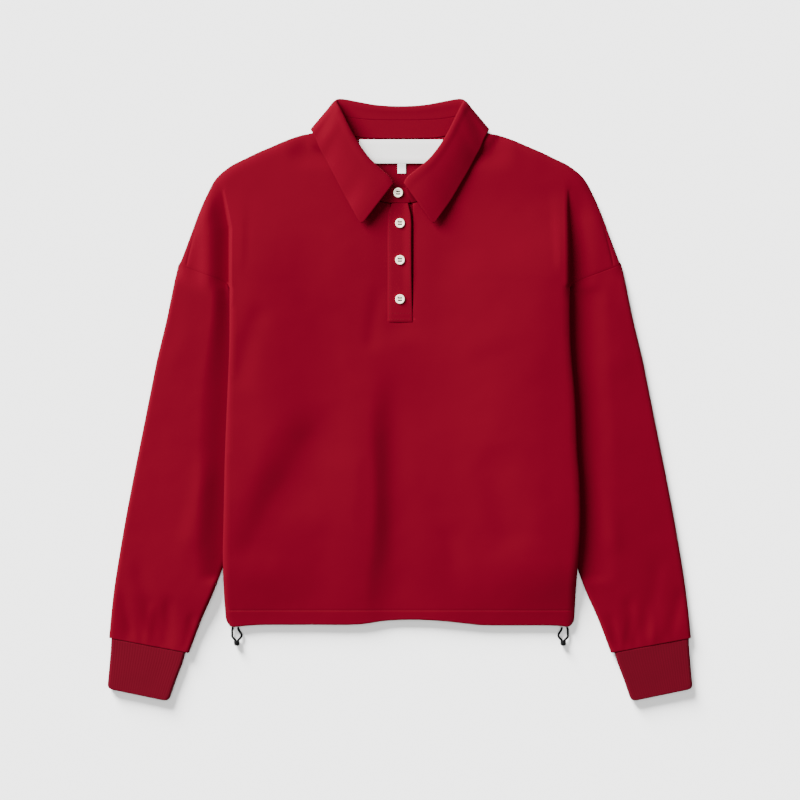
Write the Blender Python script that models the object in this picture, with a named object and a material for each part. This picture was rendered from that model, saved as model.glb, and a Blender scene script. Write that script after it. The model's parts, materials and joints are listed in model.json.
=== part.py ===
# Long sleeve polo shirt, buttoned and laid flat on a surface, front side up.
# Origin: on the surface under the middle of the shirt. +Y points to the collar, +Z up.
# Plan sizes and heights are in millimetres; mm turns them into metres at the end.

import math

import bpy
import numpy as np
from mathutils import Vector
from mathutils.geometry import delaunay_2d_cdt

mm = 0.001

# Cloth and clearances
clothThick = 1.8        # one layer of heavy cotton jersey
collarThick = 2.2       # folded and fused collar cloth
bandThick = 2.2         # placket strip
hemThick = 2.6          # turned hem channel
seamGap = 0.3           # pieces that are sewn together stay this far apart
airGap = 2.8            # air between front and back over most of the body
tuckLift = 7.1          # how far the body side rises over the sleeve tucked below it
fallLift = 2.8          # how far the back neck rises over the collar fall below it
sleeveHigh = 6.9
sleevePressed = 6.3     # sleeve where the body lies on it
cuffHigh = 6.6
hemLine = -263.0        # top of the hem channel

# Placket, buttons and label
placketLeft, placketRight = -15.0, 15.4
placketTop, placketEnd = 245.6, 97.8
slotHalf = 15.7
buttonSpots = [(-2.3, 259.0), (0.0, 221.0), (0.0, 175.0), (0.0, 126.0)]
buttonWide, buttonHigh = 12.4, 2.4
labelBox = (-51.0, 53.5, 296.0, 326.0)
tagBox = (-3.6, 9.8, 283.6, 295.6)

# Cord loops at the hem
cordWide = 2.7
beadWide, beadLong = 7.0, 6.4

# Right half of the outline, x outwards and y up; the left half mirrors it
shoulderRows = [(84.5, 346), (98, 339.5), (111, 333.6), (125, 331), (142.5, 325), (160, 317.5),
                (177.5, 310), (195, 301.5), (212.5, 292.5), (230, 277.5), (241.3, 257.5),
                (251.3, 235), (262.5, 205), (273.8, 175), (277.3, 169)]
armholeRows = [(277.3, 169), (250, 158.6), (226, 149.8), (215.2, 144)]
frontNeckRows = [(slotHalf, 246.3), (28, 249.2), (42, 255), (56, 264.5), (68, 277.3), (77, 293),
                 (82, 310), (84, 328), (84.5, 346)]
backNeckRows = [(0, 326.8), (30, 327.2), (50, 328.6), (65, 332.6), (75, 338.2), (84.5, 346)]
# Side seam: y, distance out on the left, distance out on the right
sideRows = [(140, 213, 212), (100, 213, 212), (60, 213.5, 213.5), (0, 216, 218.5),
            (-62, 218.5, 221), (-100, 219.5, 224), (-150, 220.5, 225), (-200, 221.5, 222.5),
            (-240, 220.5, 220), (-270, 218.5, 218.5), (-281, 216.5, 217)]
# Hem edge: x, y
hemRows = [(-214, -284), (-177, -281.6), (-120, -281.2), (-55, -281), (-20, -276.5), (15, -275),
           (50, -276.4), (85, -280), (110, -282), (190, -282.2), (214, -284)]
# Sleeve from armhole to cuff seam: outer x, y and inner x, y
sleeveRows = [(277.4, 168.4, 215.4, 141.6), (282, 148, 214.8, 132), (287, 124, 214.2, 120),
              (292, 100, 205, 98), (298, 75, 197, 72), (304, 50, 192, 44), (309, 25, 189.5, 12),
              (314, 0, 189, -25), (324, -50, 191, -76), (334, -100, 196, -124),
              (343.5, -150, 207, -168), (351.5, -197, 221, -207), (357, -232, 233, -240),
              (361, -265, 248, -274), (364.2, -297.6, 264, -316.4)]
cuffRows = [(361.4, -298.5, 268.5, -315.92), (362.2, -313, 272.3, -329.5),
            (364.3, -338, 280.5, -351), (366.4, -361, 289.3, -377)]
# Soft folds: x and y of both ends, width, height
foldRows = [(-16, 54, -21, -259, 15, -1.7), (-117, 0, -206, -237, 24, -1.5),
            (-91, 75, -137, -212, 40, 0.9), (-188, 144, -191, 19, 10, -1.0),
            (-26, 144, -42, 60, 10, -1.0), (110, -50, 137, -181, 30, -1.2),
            (70, 190, 120, 60, 34, 0.7)]
# Collar, back to front: roll x, y, height; edge x, y, height; turn in degrees; seam share
collarRows = [
    (0, 365.4, 2.45, 0, 318, 1.15, 0, 0.4), (30, 367, 2.45, 34, 318.5, 1.15, 0, 0.42),
    (56, 371.6, 2.45, 66, 321, 1.15, 0, 0.46), (70, 374.2, 2.5, 88, 325.5, 1.15, 0, 0.48),
    (77.5, 374.6, 2.6, 103, 331.5, 1.15, 15, 0.5), (80.6, 373.4, 3.6, 112.6, 338.6, 1.7, 50, 0.55),
    (81.2, 371.6, 5.8, 115, 338.9, 4.8, 95, 0.6), (80.2, 369.4, 8.6, 112.4, 335.2, 9.0, 140, 0.6),
    (77.6, 365, 10.6, 107, 327.5, 10.1, 170, 0.58), (73, 356, 11.6, 100.5, 315, 0, 180, 0.5),
    (67, 343.5, 12.2, 93.5, 302, 0, 180, 0.45), (57.5, 325.5, 12.3, 84, 284, 0, 180, 0.42),
    (48, 310.5, 12.3, 75, 267, 0, 180, 0.4), (37.5, 297.4, 12.2, 66, 250, 0, 180, 0.38),
    (24.5, 285.6, 12.0, 58, 235.5, 0, 180, 0.34), (13.5, 275.6, 11.8, 52.5, 226, 0, 180, 0.26),
    (9.2, 268.4, 11.6, 48.5, 222, 0, 180, 0.16)]
# The right leaf lies nearer the middle at its point
rightLeafShift = [0, 0, 0, 0, 0, 0, 0, 0, 0, 0, 0, 0, -1, -2, -4, -5.5, -5.5]
# Neck seam under the stand, back to front: x, y, height above the panel middle
neckRows = [(0, 327.4), (27, 327.7), (50, 329.2), (63, 332.8), (73, 338.4), (79.2, 345.4),
            (82.2, 348.4), (82.2, 343), (82, 334), (81.2, 324), (79.4, 309.6), (74.8, 293.6),
            (66.4, 278.8), (54.7, 266), (41.2, 256.4), (27.4, 250.4), (16, 247.4)]

redCloth = (0.262, 0.003, 0.013)
redRib = (0.225, 0.004, 0.014)
white = (0.82, 0.80, 0.74)
black = (0.012, 0.012, 0.013)


def smooth(v):
    v = np.clip(v, 0.0, 1.0)
    return v * v * (3.0 - 2.0 * v)


def curve_through(rows, step):
    # points every step millimetres on a smooth curve through the rows
    pts = np.array(rows, float)
    out = []
    for k in range(len(pts) - 1):
        a, b = pts[k], pts[k + 1]
        before = pts[k - 1] if k else 2 * a - b
        after = pts[k + 2] if k + 2 < len(pts) else 2 * b - a
        n = max(1, int(round(np.linalg.norm(b - a) / step)))
        for t in np.arange(n) / n:
            out.append(0.5 * (2 * a + (b - before) * t + (2 * before - 5 * a + 4 * b - after) * t * t
                              + (3 * a - before - 3 * b + after) * t ** 3))
    out.append(pts[-1])
    return np.array(out)


def mirrored(path):
    return [(-x, y) for x, y in path][::-1]


def side_path(side, step):
    rows = [((-left if side < 0 else right), y) for y, left, right in sideRows]
    return curve_through(rows, step)


def panel_outline(neck, step):
    # anticlockwise from the left end of the hem; neck runs from the middle to the shoulder
    hem = curve_through(hemRows, step)
    sideRight = side_path(1, step)[::-1]
    armhole = curve_through(armholeRows, step)[::-1]
    shoulder = curve_through(shoulderRows, step * 0.8)[::-1]
    neckLine = curve_through(neck, step * 0.7)[::-1]
    right = [tuple(p) for p in armhole[:-1]] + [tuple(p) for p in shoulder[:-1]]
    right += [tuple(p) for p in neckLine]
    left = mirrored(right)
    if neck is frontNeckRows:
        slot = [(slotHalf, y) for y in (208, 170, 132, 97.4)]
        slot += [(-x, y) for x, y in slot[::-1]]
    else:
        slot = []
        left = left[1:]
    loop = [tuple(p) for p in hem] + [tuple(p) for p in sideRight] + right + slot + left
    return loop + [tuple(p) for p in side_path(-1, step)]


def fold_edges():
    # the outline where the cloth turns over: shoulders, outer wings and sides
    lines = []
    for sign in (-1, 1):
        lines.append(curve_through(shoulderRows, 12) * (sign, 1))
        lines.append(side_path(sign, 14))
    return lines


def distance_to(pts, lines):
    best = np.full(len(pts), 1e9)
    for line in lines:
        for a, b in zip(line[:-1], line[1:]):
            ab = b - a
            t = np.clip(((pts - a) @ ab) / max(ab @ ab, 1e-9), 0, 1)
            best = np.minimum(best, np.linalg.norm(pts - a - t[:, None] * ab, axis=1))
    return best


foldLines = fold_edges()


def tucked_edge(y):
    rows = np.array([(row[3], row[2]) for row in sleeveRows])[::-1]
    return np.interp(y, rows[:, 0], rows[:, 1])


def lift(x, y):
    # height of the back panel's underside over the sleeves and over the collar fall
    out = np.abs(x)
    inner = np.minimum(np.minimum(tucked_edge(y - 22), tucked_edge(y + 22)), 207)
    ramp = smooth((out - inner + 31) / 22)
    crease = 214 + np.maximum(y - 141, 0) * 0.104
    outer = np.where(y > 141, 1 - smooth((out - crease) / 11), 1.0)
    tuck = tuckLift * ramp * outer * smooth((y + 254) / 38) * (1 - smooth((y - 150) / 112))
    edge = np.where(out < 111, 318 + 16 * (out / 111) ** 3, 334 + (out - 111) * 1.3)
    return tuck + fallLift * smooth((y - edge + 23) / 13)


def folds(x, y):
    total = np.zeros_like(x)
    for x0, y0, x1, y1, wide, high in foldRows:
        long = math.hypot(x1 - x0, y1 - y0)
        ux, uy = (x1 - x0) / long, (y1 - y0) / long
        along = (x - x0) * ux + (y - y0) * uy
        off = (x - x0) * -uy + (y - y0) * ux
        ends = smooth(along / (0.25 * long)) * smooth((long * 1.06 - along) / (0.2 * long))
        total += high * ends * np.exp(-(off / (0.5 * wide)) ** 2)
    return total


def hem_swell(y):
    return (hemThick - clothThick) * smooth((hemLine - y) / 3.0)


def back_faces(x, y):
    under = lift(x, y)
    return under, under + clothThick + hem_swell(y)


def front_faces(x, y):
    pts = np.column_stack([x, y])
    d = distance_to(pts, foldLines)
    neckPart = smooth((y - 285) / 25) * (1 - smooth((np.abs(x) - 115) / 30))
    air = airGap - 2.0 * neckPart + folds(x, y)
    air = air * (1 - 0.7 * smooth((-235 - y) / 30))
    air = np.clip(air, 0.3, 3.8) * smooth(d / 15)
    under = back_faces(x, y)[1] + 0.45 + air
    return under, under + clothThick + hem_swell(y)


def front_top(x, y):
    return float(front_faces(np.array([float(x)]), np.array([float(y)]))[1][0])


def back_top(x, y):
    return float(back_faces(np.array([float(x)]), np.array([float(y)]))[1][0])


def volume(verts, faces):
    v = np.array(verts, float)
    total = 0.0
    for face in faces:
        for i in range(1, len(face) - 1):
            total += v[face[0]] @ np.cross(v[face[i]], v[face[i + 1]])
    return total / 6


def solid_object(name, verts, faces, colour, rough, round_piece=True, metal=0.0):
    # faces point out of the cloth, whichever way the piece was laid out
    if volume(verts, faces) < 0:
        faces = [tuple(face[::-1]) for face in faces]
    mesh = bpy.data.meshes.new(name)
    mesh.from_pydata([Vector(v) * mm for v in verts], [], faces)
    mesh.validate()
    mesh.update()
    if round_piece:
        mesh.shade_smooth()
        mesh.set_sharp_from_angle(angle=math.radians(40))
    obj = bpy.data.objects.new(name, mesh)
    bpy.context.scene.collection.objects.link(obj)
    paint(obj, name, colour, rough, metal)
    return obj


def paint(obj, name, colour, rough, metal=0.0):
    mat = bpy.data.materials.new(name + "_finish")
    mat.use_nodes = True
    bsdf = mat.node_tree.nodes["Principled BSDF"]
    bsdf.inputs["Base Color"].default_value = (*colour, 1.0)
    bsdf.inputs["Roughness"].default_value = rough
    bsdf.inputs["Metallic"].default_value = metal
    obj.data.materials.append(mat)


def inside(pts, loop):
    x, y = pts[:, 0], pts[:, 1]
    hit = np.zeros(len(pts), bool)
    for (x0, y0), (x1, y1) in zip(loop, np.roll(loop, -1, axis=0)):
        if y0 == y1:
            continue
        cross = (y0 > y) != (y1 > y)
        hit ^= cross & (x < x0 + (y - y0) * (x1 - x0) / (y1 - y0))
    return hit


def panel(name, neck, heights, columns, rowsY, rings, step):
    # one wall of cloth: the same plan triangles on both faces, closed round the outline
    loop = np.array(panel_outline(neck, step))
    closed = np.vstack([loop, loop[:1]])
    edge = np.roll(loop, -1, axis=0) - np.roll(loop, 1, axis=0)
    inward = np.column_stack([-edge[:, 1], edge[:, 0]]) / np.linalg.norm(edge, axis=1)[:, None]
    extra = []
    for ring in rings:
        pts = loop + inward * ring
        keep = inside(pts, loop) & (distance_to(pts, [closed]) > ring * 0.8)
        extra.append(pts[keep])
    grid = np.array([(sign * c, r) for c in columns for r in rowsY for sign in (-1, 1) if c or sign > 0],
                    float)
    keep = inside(grid, loop) & (distance_to(grid, [closed]) > rings[-1] * 1.5)
    extra.append(grid[keep])
    pts = np.vstack([loop] + extra)
    flat, _, tris, _, _, _ = delaunay_2d_cdt([Vector(p) for p in pts], [], [list(range(len(loop)))],
                                             1, 1e-5)
    flat = np.array([(v.x, v.y) for v in flat])
    tris = [t if area(flat, t) > 0 else t[::-1] for t in tris]
    under, top = heights(flat[:, 0], flat[:, 1])
    d = distance_to(flat, [closed])
    top = top - 0.35 * (1 - smooth(d / 2.5))
    n = len(flat)
    verts = [(x, y, z) for (x, y), z in zip(flat, under)] + [(x, y, z) for (x, y), z in zip(flat, top)]
    faces = [tuple(t[::-1]) for t in tris] + [tuple(i + n for i in t) for t in tris]
    sides = {(t[k], t[(k + 1) % 3]) for t in tris for k in range(3)}
    faces += [(a, b, b + n, a + n) for a, b in sides if (b, a) not in sides]
    return solid_object(name, verts, faces, redCloth, 0.92)


def area(flat, tri):
    a, b, c = flat[list(tri)]
    return (b[0] - a[0]) * (c[1] - a[1]) - (b[1] - a[1]) * (c[0] - a[0])


def thick_grid(name, mid, thick, colour, rough):
    # a sheet of even thickness round a grid of middle points, mid[station][across]
    mid = np.array(mid, float)
    along = np.gradient(mid, axis=0)
    across = np.gradient(mid, axis=1)
    normal = np.cross(along, across)
    normal /= np.linalg.norm(normal, axis=2)[:, :, None]
    one, two = mid + normal * thick / 2, mid - normal * thick / 2
    m, n = mid.shape[:2]
    verts = list(one.reshape(-1, 3)) + list(two.reshape(-1, 3))
    at = lambda i, j, skin: skin * m * n + i * n + j
    faces = []
    for i in range(m - 1):
        for j in range(n - 1):
            faces.append((at(i, j, 0), at(i + 1, j, 0), at(i + 1, j + 1, 0), at(i, j + 1, 0)))
            faces.append((at(i, j, 1), at(i, j + 1, 1), at(i + 1, j + 1, 1), at(i + 1, j, 1)))
    for i in range(m - 1):
        faces.append((at(i, 0, 0), at(i, 0, 1), at(i + 1, 0, 1), at(i + 1, 0, 0)))
        faces.append((at(i, n - 1, 0), at(i + 1, n - 1, 0), at(i + 1, n - 1, 1), at(i, n - 1, 1)))
    for j in range(n - 1):
        faces.append((at(0, j, 0), at(0, j + 1, 0), at(0, j + 1, 1), at(0, j, 1)))
        faces.append((at(m - 1, j, 0), at(m - 1, j, 1), at(m - 1, j + 1, 1), at(m - 1, j + 1, 0)))
    return solid_object(name, verts, faces, colour, rough)


def collar_station(k, side):
    row = collarRows[k]
    shift = rightLeafShift[k] if side > 0 else 0
    roll = np.array([side * (row[0] + shift * 0.6), row[1], row[2]])
    edge = np.array([side * (row[3] + shift), row[4], row[5]])
    if row[6] == 180:
        edge[2] = front_top(edge[0], edge[1]) + 0.3 + collarThick / 2 + 0.7
    neck = np.array([side * neckRows[k][0], neckRows[k][1], 0.0])
    neck[2] = neck_height(k, neck, side)
    return roll, edge, neck, math.radians(row[6]), row[7]


def neck_height(k, neck, side):
    # middle of the stand at the neck seam: on the back panel, then on the front panel
    if k <= 5:
        return fallLift + collarThick / 2 + 0.1
    if k == 6:
        return fallLift + clothThick + 0.5
    panelMiddle = front_top(*neckline_outside(neck)) - clothThick / 2
    return panelMiddle + (0.6 if k > 12 and side < 0 else 0.3)


def neckline_outside(neck):
    return neck[0] * 1.02, neck[1] - 0.5


def seam_point(roll, neck, turn, share):
    # where stand and fall meet, between the neck seam and the roll
    inner = roll + (0, 0, 1.3 * math.cos(turn))
    return inner + (neck - inner) * share


def seam_room(before, seam, after, turn):
    # half the gap at the seam; where the cloth bends there, its corners need more
    one = (seam - before) / np.linalg.norm(seam - before)
    two = (after - seam) / np.linalg.norm(after - seam)
    bend = math.acos(float(np.clip(one @ two, -1, 1)))
    return seamGap / 2 + collarThick / 2 * math.tan(min(bend, 1.4) / 2) + 0.1 + 1.3 * math.sin(turn)


def fall_sections(side):
    sections = []
    for k in range(len(collarRows)):
        roll, edge, neck, turn, share = collar_station(k, side)
        seam = seam_point(roll, neck, turn, share)
        out = roll[:2] - edge[:2]
        out = np.array([*(out / np.linalg.norm(out)), 0.0])
        inward = np.array([-side, 0.0, 0.0])
        apart = np.array([0, 0, 1.0]) * math.cos(turn) + inward * math.sin(turn)
        r = 1.35
        bend = [roll + apart * r * math.cos(a) + out * r * math.sin(a)
                for a in (0.0, math.pi * 0.25, math.pi * 0.5, math.pi * 0.75, math.pi)]
        towards = (bend[0] - seam) / np.linalg.norm(bend[0] - seam)
        start = seam + towards * seam_room(neck, seam, bend[0], turn)
        outArm = [bend[-1] + (edge - bend[-1]) * t for t in (0.2, 0.45, 0.72, 1.0)]
        for t, p in zip((0.2, 0.45, 0.72), outArm):
            if turn > 3:
                p[2] += 1.0 * math.sin(math.pi * t)
        sections.append([start, (start + bend[0]) / 2] + bend + outArm)
    return sections


def stand_sections(side):
    sections = []
    for k in range(len(collarRows)):
        roll, edge, neck, turn, share = collar_station(k, side)
        seam = seam_point(roll, neck, turn, share)
        towards = (seam - neck) / np.linalg.norm(seam - neck)
        inner = roll + (0, 0, 1.3 * math.cos(turn))
        end = seam - towards * seam_room(neck, seam, inner, turn)
        sections.append([neck + (end - neck) * t for t in (0.0, 0.33, 0.67, 1.0)])
    return sections


def stand_ends(sections, side):
    # the buttoned ends cross in the middle, the left one on top
    last = sections[-1]
    rise = (0.1, 2.3) if side < 0 else (-2.5, -0.3)
    base = front_top(0, 246)
    out = []
    for x, low, high in ((8.5, 246.9, 264.4), (0, 246.6, 265.2), (-7, 246.6, 265.0), (-13, 246.9, 263.2)):
        a = np.array([side * x, low, base + rise[0]])
        b = np.array([side * x, high, base + rise[1]])
        out.append([a + (b - a) * t for t in (0.0, 0.33, 0.67, 1.0)])
    return sections + out


def collar():
    left, right = fall_sections(-1), fall_sections(1)
    thick_grid("collar_fall", left[::-1] + right[1:], collarThick, redCloth, 0.9)
    left, right = stand_ends(stand_sections(-1), -1), stand_ends(stand_sections(1), 1)
    thick_grid("collar_stand", left[::-1] + right[1:], collarThick, redCloth, 0.9)


def armhole_bow(share):
    # how far the sleeve's top edge rises from a straight line to follow the armhole
    outerX, outerY, innerX, innerY = sleeveRows[0]
    x, y = outerX + (innerX - outerX) * share, outerY + (innerY - outerY) * share
    seam = curve_through(armholeRows, 17)[::-1]
    return float(np.interp(x, seam[:, 0], seam[:, 1])) - 0.45 - y


def ring(outer, inner, high, inset, bow=0.0):
    # flat tube section between two plan points; inset is the skin's depth in the cloth
    outer, inner = np.array(outer), np.array(inner)
    wide = np.linalg.norm(inner - outer)
    dirn = (inner - outer) / wide
    us = np.array([0, 0.8, 2.6, 12, 30, 50, 70, 88, 97.4, 99.2, 100]) / 100
    run = inset + us * (wide - 2 * inset)
    middle = high(*(outer + dirn * inset)) * 0.5
    radius = max(3.3 - inset, 0.6)
    def swell(d):
        return np.sqrt(np.clip(1 - (1 - np.clip(d / radius, 0, 1)) ** 2, 0, 1))
    d = np.minimum(run - inset, wide - inset - run)
    top, bottom = [], []
    for r, s in zip(run, swell(d)):
        x, y = outer + dirn * r
        y += bow * armhole_bow(r / wide) if bow else 0.0
        top.append((x, y, middle + (high(x, y) - inset - middle) * s))
        bottom.append((x, y, middle + (inset - middle) * s))
    return bottom + top[-2:0:-1]


def tube(name, rows, high, colour, rough, side, bows=()):
    # bows holds the share of the armhole's bow in the first few rings
    bows = list(bows) + [0.0] * (len(rows) - len(bows))
    outerSkin = [ring(r[:2], r[2:], high, 0.0, b) for r, b in zip(rows, bows)]
    innerSkin = [ring(r[:2], r[2:], high, clothThick, b) for r, b in zip(rows, bows)]
    n, m = len(outerSkin[0]), len(rows)
    verts = [(side * x, y, z) for skin in (outerSkin, innerSkin) for row in skin for x, y, z in row]
    at = lambda i, j, skin: skin * m * n + i * n + j % n
    faces = []
    for j in range(n):
        for i in range(m - 1):
            faces.append((at(i, j, 0), at(i + 1, j, 0), at(i + 1, j + 1, 0), at(i, j + 1, 0)))
            faces.append((at(i, j, 1), at(i, j + 1, 1), at(i + 1, j + 1, 1), at(i + 1, j, 1)))
        faces.append((at(0, j, 0), at(0, j + 1, 0), at(0, j + 1, 1), at(0, j, 1)))
        faces.append((at(m - 1, j, 0), at(m - 1, j, 1), at(m - 1, j + 1, 1), at(m - 1, j + 1, 0)))
    return solid_object(name, verts, faces, colour, rough)


def side_edge(y, side):
    rows = np.array(sideRows, float)[::-1]
    return np.interp(y, rows[:, 0], rows[:, 1 if side < 0 else 2])


def sleeve_height(side):
    def high(x, y):
        clear = x - side_edge(y, side)
        free = smooth((clear - 2.5) / 12) if -225 < y < 150 else 1.0
        wave = 0.35 * math.sin(y / 31.0 + 1.0) * math.sin(x / 17.0)
        return float(sleevePressed + (sleeveHigh + wave - sleevePressed) * free)
    return high


def cuff_height(x, y):
    return cuffHigh


def strip(name, box, bottom, top, colour, rough, columns, stepY):
    # a flat piece laid on the cloth: both faces follow the cloth's own height
    x0, x1, y0, y1 = box
    xs = np.linspace(x0, x1, columns)
    ys = np.linspace(y0, y1, max(2, int(round((y1 - y0) / stepY)) + 1))
    low = [[(x, y, bottom(x, y)) for y in ys] for x in xs]
    high = [[(x, y, top(x, y)) for y in ys] for x in xs]
    m, n = len(xs), len(ys)
    verts = [p for grid in (high, low) for column in grid for p in column]
    at = lambda i, j, skin: skin * m * n + i * n + j
    faces = []
    for i in range(m - 1):
        for j in range(n - 1):
            faces.append((at(i, j, 0), at(i + 1, j, 0), at(i + 1, j + 1, 0), at(i, j + 1, 0)))
            faces.append((at(i, j, 1), at(i, j + 1, 1), at(i + 1, j + 1, 1), at(i + 1, j, 1)))
    for i in range(m - 1):
        faces.append((at(i, 0, 0), at(i, 0, 1), at(i + 1, 0, 1), at(i + 1, 0, 0)))
        faces.append((at(i, n - 1, 0), at(i + 1, n - 1, 0), at(i + 1, n - 1, 1), at(i, n - 1, 1)))
    for j in range(n - 1):
        faces.append((at(0, j, 0), at(0, j + 1, 0), at(0, j + 1, 1), at(0, j, 1)))
        faces.append((at(m - 1, j, 0), at(m - 1, j, 1), at(m - 1, j + 1, 1), at(m - 1, j + 1, 0)))
    return solid_object(name, verts, faces, colour, rough)


def placket():
    box = (placketLeft, placketRight, placketEnd, placketTop)
    high = lambda x, y: front_top(0, y) + 1.2
    strip("placket_over", box, lambda x, y: high(x, y) - bandThick, high, redCloth, 0.9, 4, 15)
    low = lambda x, y: front_top(0, y) - 1.35
    strip("placket_under", box, lambda x, y: low(x, y) - 2.0, low, redCloth, 0.9, 3, 21)


def label():
    on = lambda x, y: max(back_top(x, y + dy) for dy in (-5, 0, 5)) + 0.3
    strip("neck_label", labelBox, on, lambda x, y: on(x, y) + 1.0, white, 0.7, 4, 6)
    strip("size_tag", tagBox, on, lambda x, y: on(x, y) + 0.8, white, 0.7, 2, 4)


def button_cutter():
    verts, faces = [], []
    for cx, cy in ((-1.4, -1.4), (1.4, -1.4), (1.4, 1.4), (-1.4, 1.4)):
        base = len(verts)
        for z in (-1.0, buttonHigh + 1.0):
            for k in range(6):
                a = 2 * math.pi * k / 6
                verts.append((cx + 0.75 * math.cos(a), cy + 0.75 * math.sin(a), z))
        faces.append(tuple(base + k for k in range(5, -1, -1)))
        faces.append(tuple(base + 6 + k for k in range(6)))
        for k in range(6):
            n = (k + 1) % 6
            faces.append((base + k, base + n, base + 6 + n, base + 6 + k))
    cutter = solid_object("button_holes", verts, faces, white, 0.5)
    cutter.hide_render = True
    cutter.display_type = 'WIRE'
    return cutter


def turned(profile, steps):
    # closed profile turned round Z; its first and last points are on the axis
    verts, faces = [(0, 0, profile[0][1])], []
    for r, z in profile[1:-1]:
        for k in range(steps):
            a = 2 * math.pi * k / steps
            verts.append((r * math.cos(a), r * math.sin(a), z))
    verts.append((0, 0, profile[-1][1]))
    top = len(verts) - 1
    rings = len(profile) - 2
    for k in range(steps):
        n = (k + 1) % steps
        faces.append((0, 1 + n, 1 + k))
        for i in range(rings - 1):
            a = 1 + i * steps
            faces.append((a + k, a + n, a + steps + n, a + steps + k))
        last = 1 + (rings - 1) * steps
        faces.append((last + k, last + n, top))
    return verts, faces


def buttons():
    r, h = buttonWide / 2, buttonHigh
    profile = [(0, 0), (r * 0.8, 0), (r, 1.1), (r * 0.93, h * 0.97), (r * 0.76, h * 0.95),
               (r * 0.64, h * 0.66), (0, h * 0.62)]
    verts, faces = turned(profile, 18)
    for k, (x, y) in enumerate(buttonSpots):
        obj = solid_object(f"button_{k + 1}", verts, faces, white, 0.35)
        # each button has a cutter of its own, level with it
        holes = button_cutter()
        holes.name = f"button_holes_{k + 1}"
        if k == 0:
            base = front_top(0, 246)
            rise = (y - 246.6) / 18.6
            z = base + 0.1 + 2.2 * rise + collarThick / 2 + 0.35
            tilt = math.atan2(2.2, 18.4)
        else:
            z, tilt = front_top(0, y) + 1.2 + 0.3, 0.0
        for item in (obj, holes):
            item.location = (x * mm, y * mm, z * mm)
            item.rotation_euler = (tilt, 0, 0)
        cut = obj.modifiers.new("holes", 'BOOLEAN')
        cut.operation = 'DIFFERENCE'
        cut.solver = 'EXACT'
        cut.object = holes


def cord_loop(side):
    # both strands leave the hem edge, spread to an oval and turn inside the bead
    name = "left" if side < 0 else "right"
    middle = side * 206.0
    beadX, beadTop = side * 204.4, -301.2
    turnR = 1.42
    hemY = -284.1
    beadZ = beadWide / 2
    route = [(middle - 3.2, hemY - 0.55, 3.2), (middle - 4.2, hemY - 4, 2.6), (beadX - 5.8, hemY - 9.4, 2.4),
             (beadX - 5.7, beadTop + 4.9, 2.6), (beadX - 3.7, beadTop + 2.3, 3.1),
             (beadX - 1.8, beadTop + 0.6, beadZ), (beadX - 1.45, beadTop - 0.8, beadZ)]
    for a in (0, 30, 60, 90, 120, 150, 180):
        t = math.radians(a)
        route.append((beadX - turnR * math.cos(t), beadTop - 2.3 - turnR * math.sin(t), beadZ))
    back = [(beadX + 1.45, beadTop - 0.8, beadZ), (beadX + 1.8, beadTop + 0.6, beadZ),
            (beadX + 3.7, beadTop + 2.3, 3.1), (beadX + 5.7, beadTop + 4.9, 2.6),
            (beadX + 5.8, hemY - 9.4, 2.4), (middle + 4.2, hemY - 4, 2.6), (middle + 3.2, hemY - 0.55, 3.2)]
    pts = curve_through(route + back, 2.0)
    curve = bpy.data.curves.new("cord_" + name, 'CURVE')
    curve.dimensions = '3D'
    curve.bevel_depth = cordWide / 2 * mm
    curve.bevel_resolution = 2
    curve.use_fill_caps = True
    spline = curve.splines.new('POLY')
    spline.points.add(len(pts) - 1)
    for point, co in zip(spline.points, pts):
        point.co = (*(co * mm), 1.0)
    obj = bpy.data.objects.new("cord_" + name, curve)
    bpy.context.scene.collection.objects.link(obj)
    paint(obj, obj.name, black, 0.8)
    bead("bead_" + name, beadX, beadTop)


def bead(name, x, top):
    # a rounded stopper with a pocket that holds the turn of the cord
    outline = [(0, 0.3), (1.7, 0), (3.0, 0.75), (3.5, 2.2), (3.5, 4.6), (3.42, 5.9), (3.3, 6.4)]
    pocket = [(3.24, 6.3), (2.98, 5.6), (2.88, 2.9), (2.4, 1.3), (0, 1.15)]
    verts, faces = turned(outline + pocket, 16)
    # the turned axis is laid down, pointing to the hem
    placed = [(x + vx, top - beadLong + vz, beadWide / 2 - vy) for vx, vy, vz in verts]
    solid_object(name, placed, faces, black, 0.45)


def main():
    for obj in list(bpy.data.objects):
        bpy.data.objects.remove(obj, do_unlink=True)
    frontColumns = [0, 31, 52, 74, 97, 120, 142, 160, 169, 178, 187, 197, 207, 215, 221, 228, 246]
    frontRows = [330, 323, 316, 309, 302, 294, 276, 252, 228, 204, 180, 156, 130, 98, 64, 30, -4, -38,
                 -72, -106, -140, -174, -204, -222, -240, -253, -259.5, -266]
    backColumns = [0, 26, 52, 78, 97, 120, 142, 160, 169, 178, 187, 207, 215, 221, 228, 246]
    backRows = [337, 330, 323, 316, 309, 302, 294, 270, 235, 200, 165, 140, 105, 65, 25, -15, -55,
                -95, -135, -175, -206, -224, -240, -257, -266]
    panel("front_panel", frontNeckRows, front_faces, frontColumns, frontRows, (3.2,), 17)
    panel("back_panel", backNeckRows, back_faces, backColumns, backRows, (3.2,), 19)
    for side, word in ((-1, "left"), (1, "right")):
        tube("sleeve_" + word, sleeveRows, sleeve_height(side), redCloth, 0.92, side, (1.0, 0.5))
        tube("cuff_" + word, cuffRows, cuff_height, redRib, 0.95, side)
        cord_loop(side)
    collar()
    placket()
    label()
    buttons()


main()
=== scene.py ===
import json
import math

import bpy
import bmesh
import numpy as np
from mathutils import Matrix, Vector
from mathutils.geometry import delaunay_2d_cdt

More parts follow.
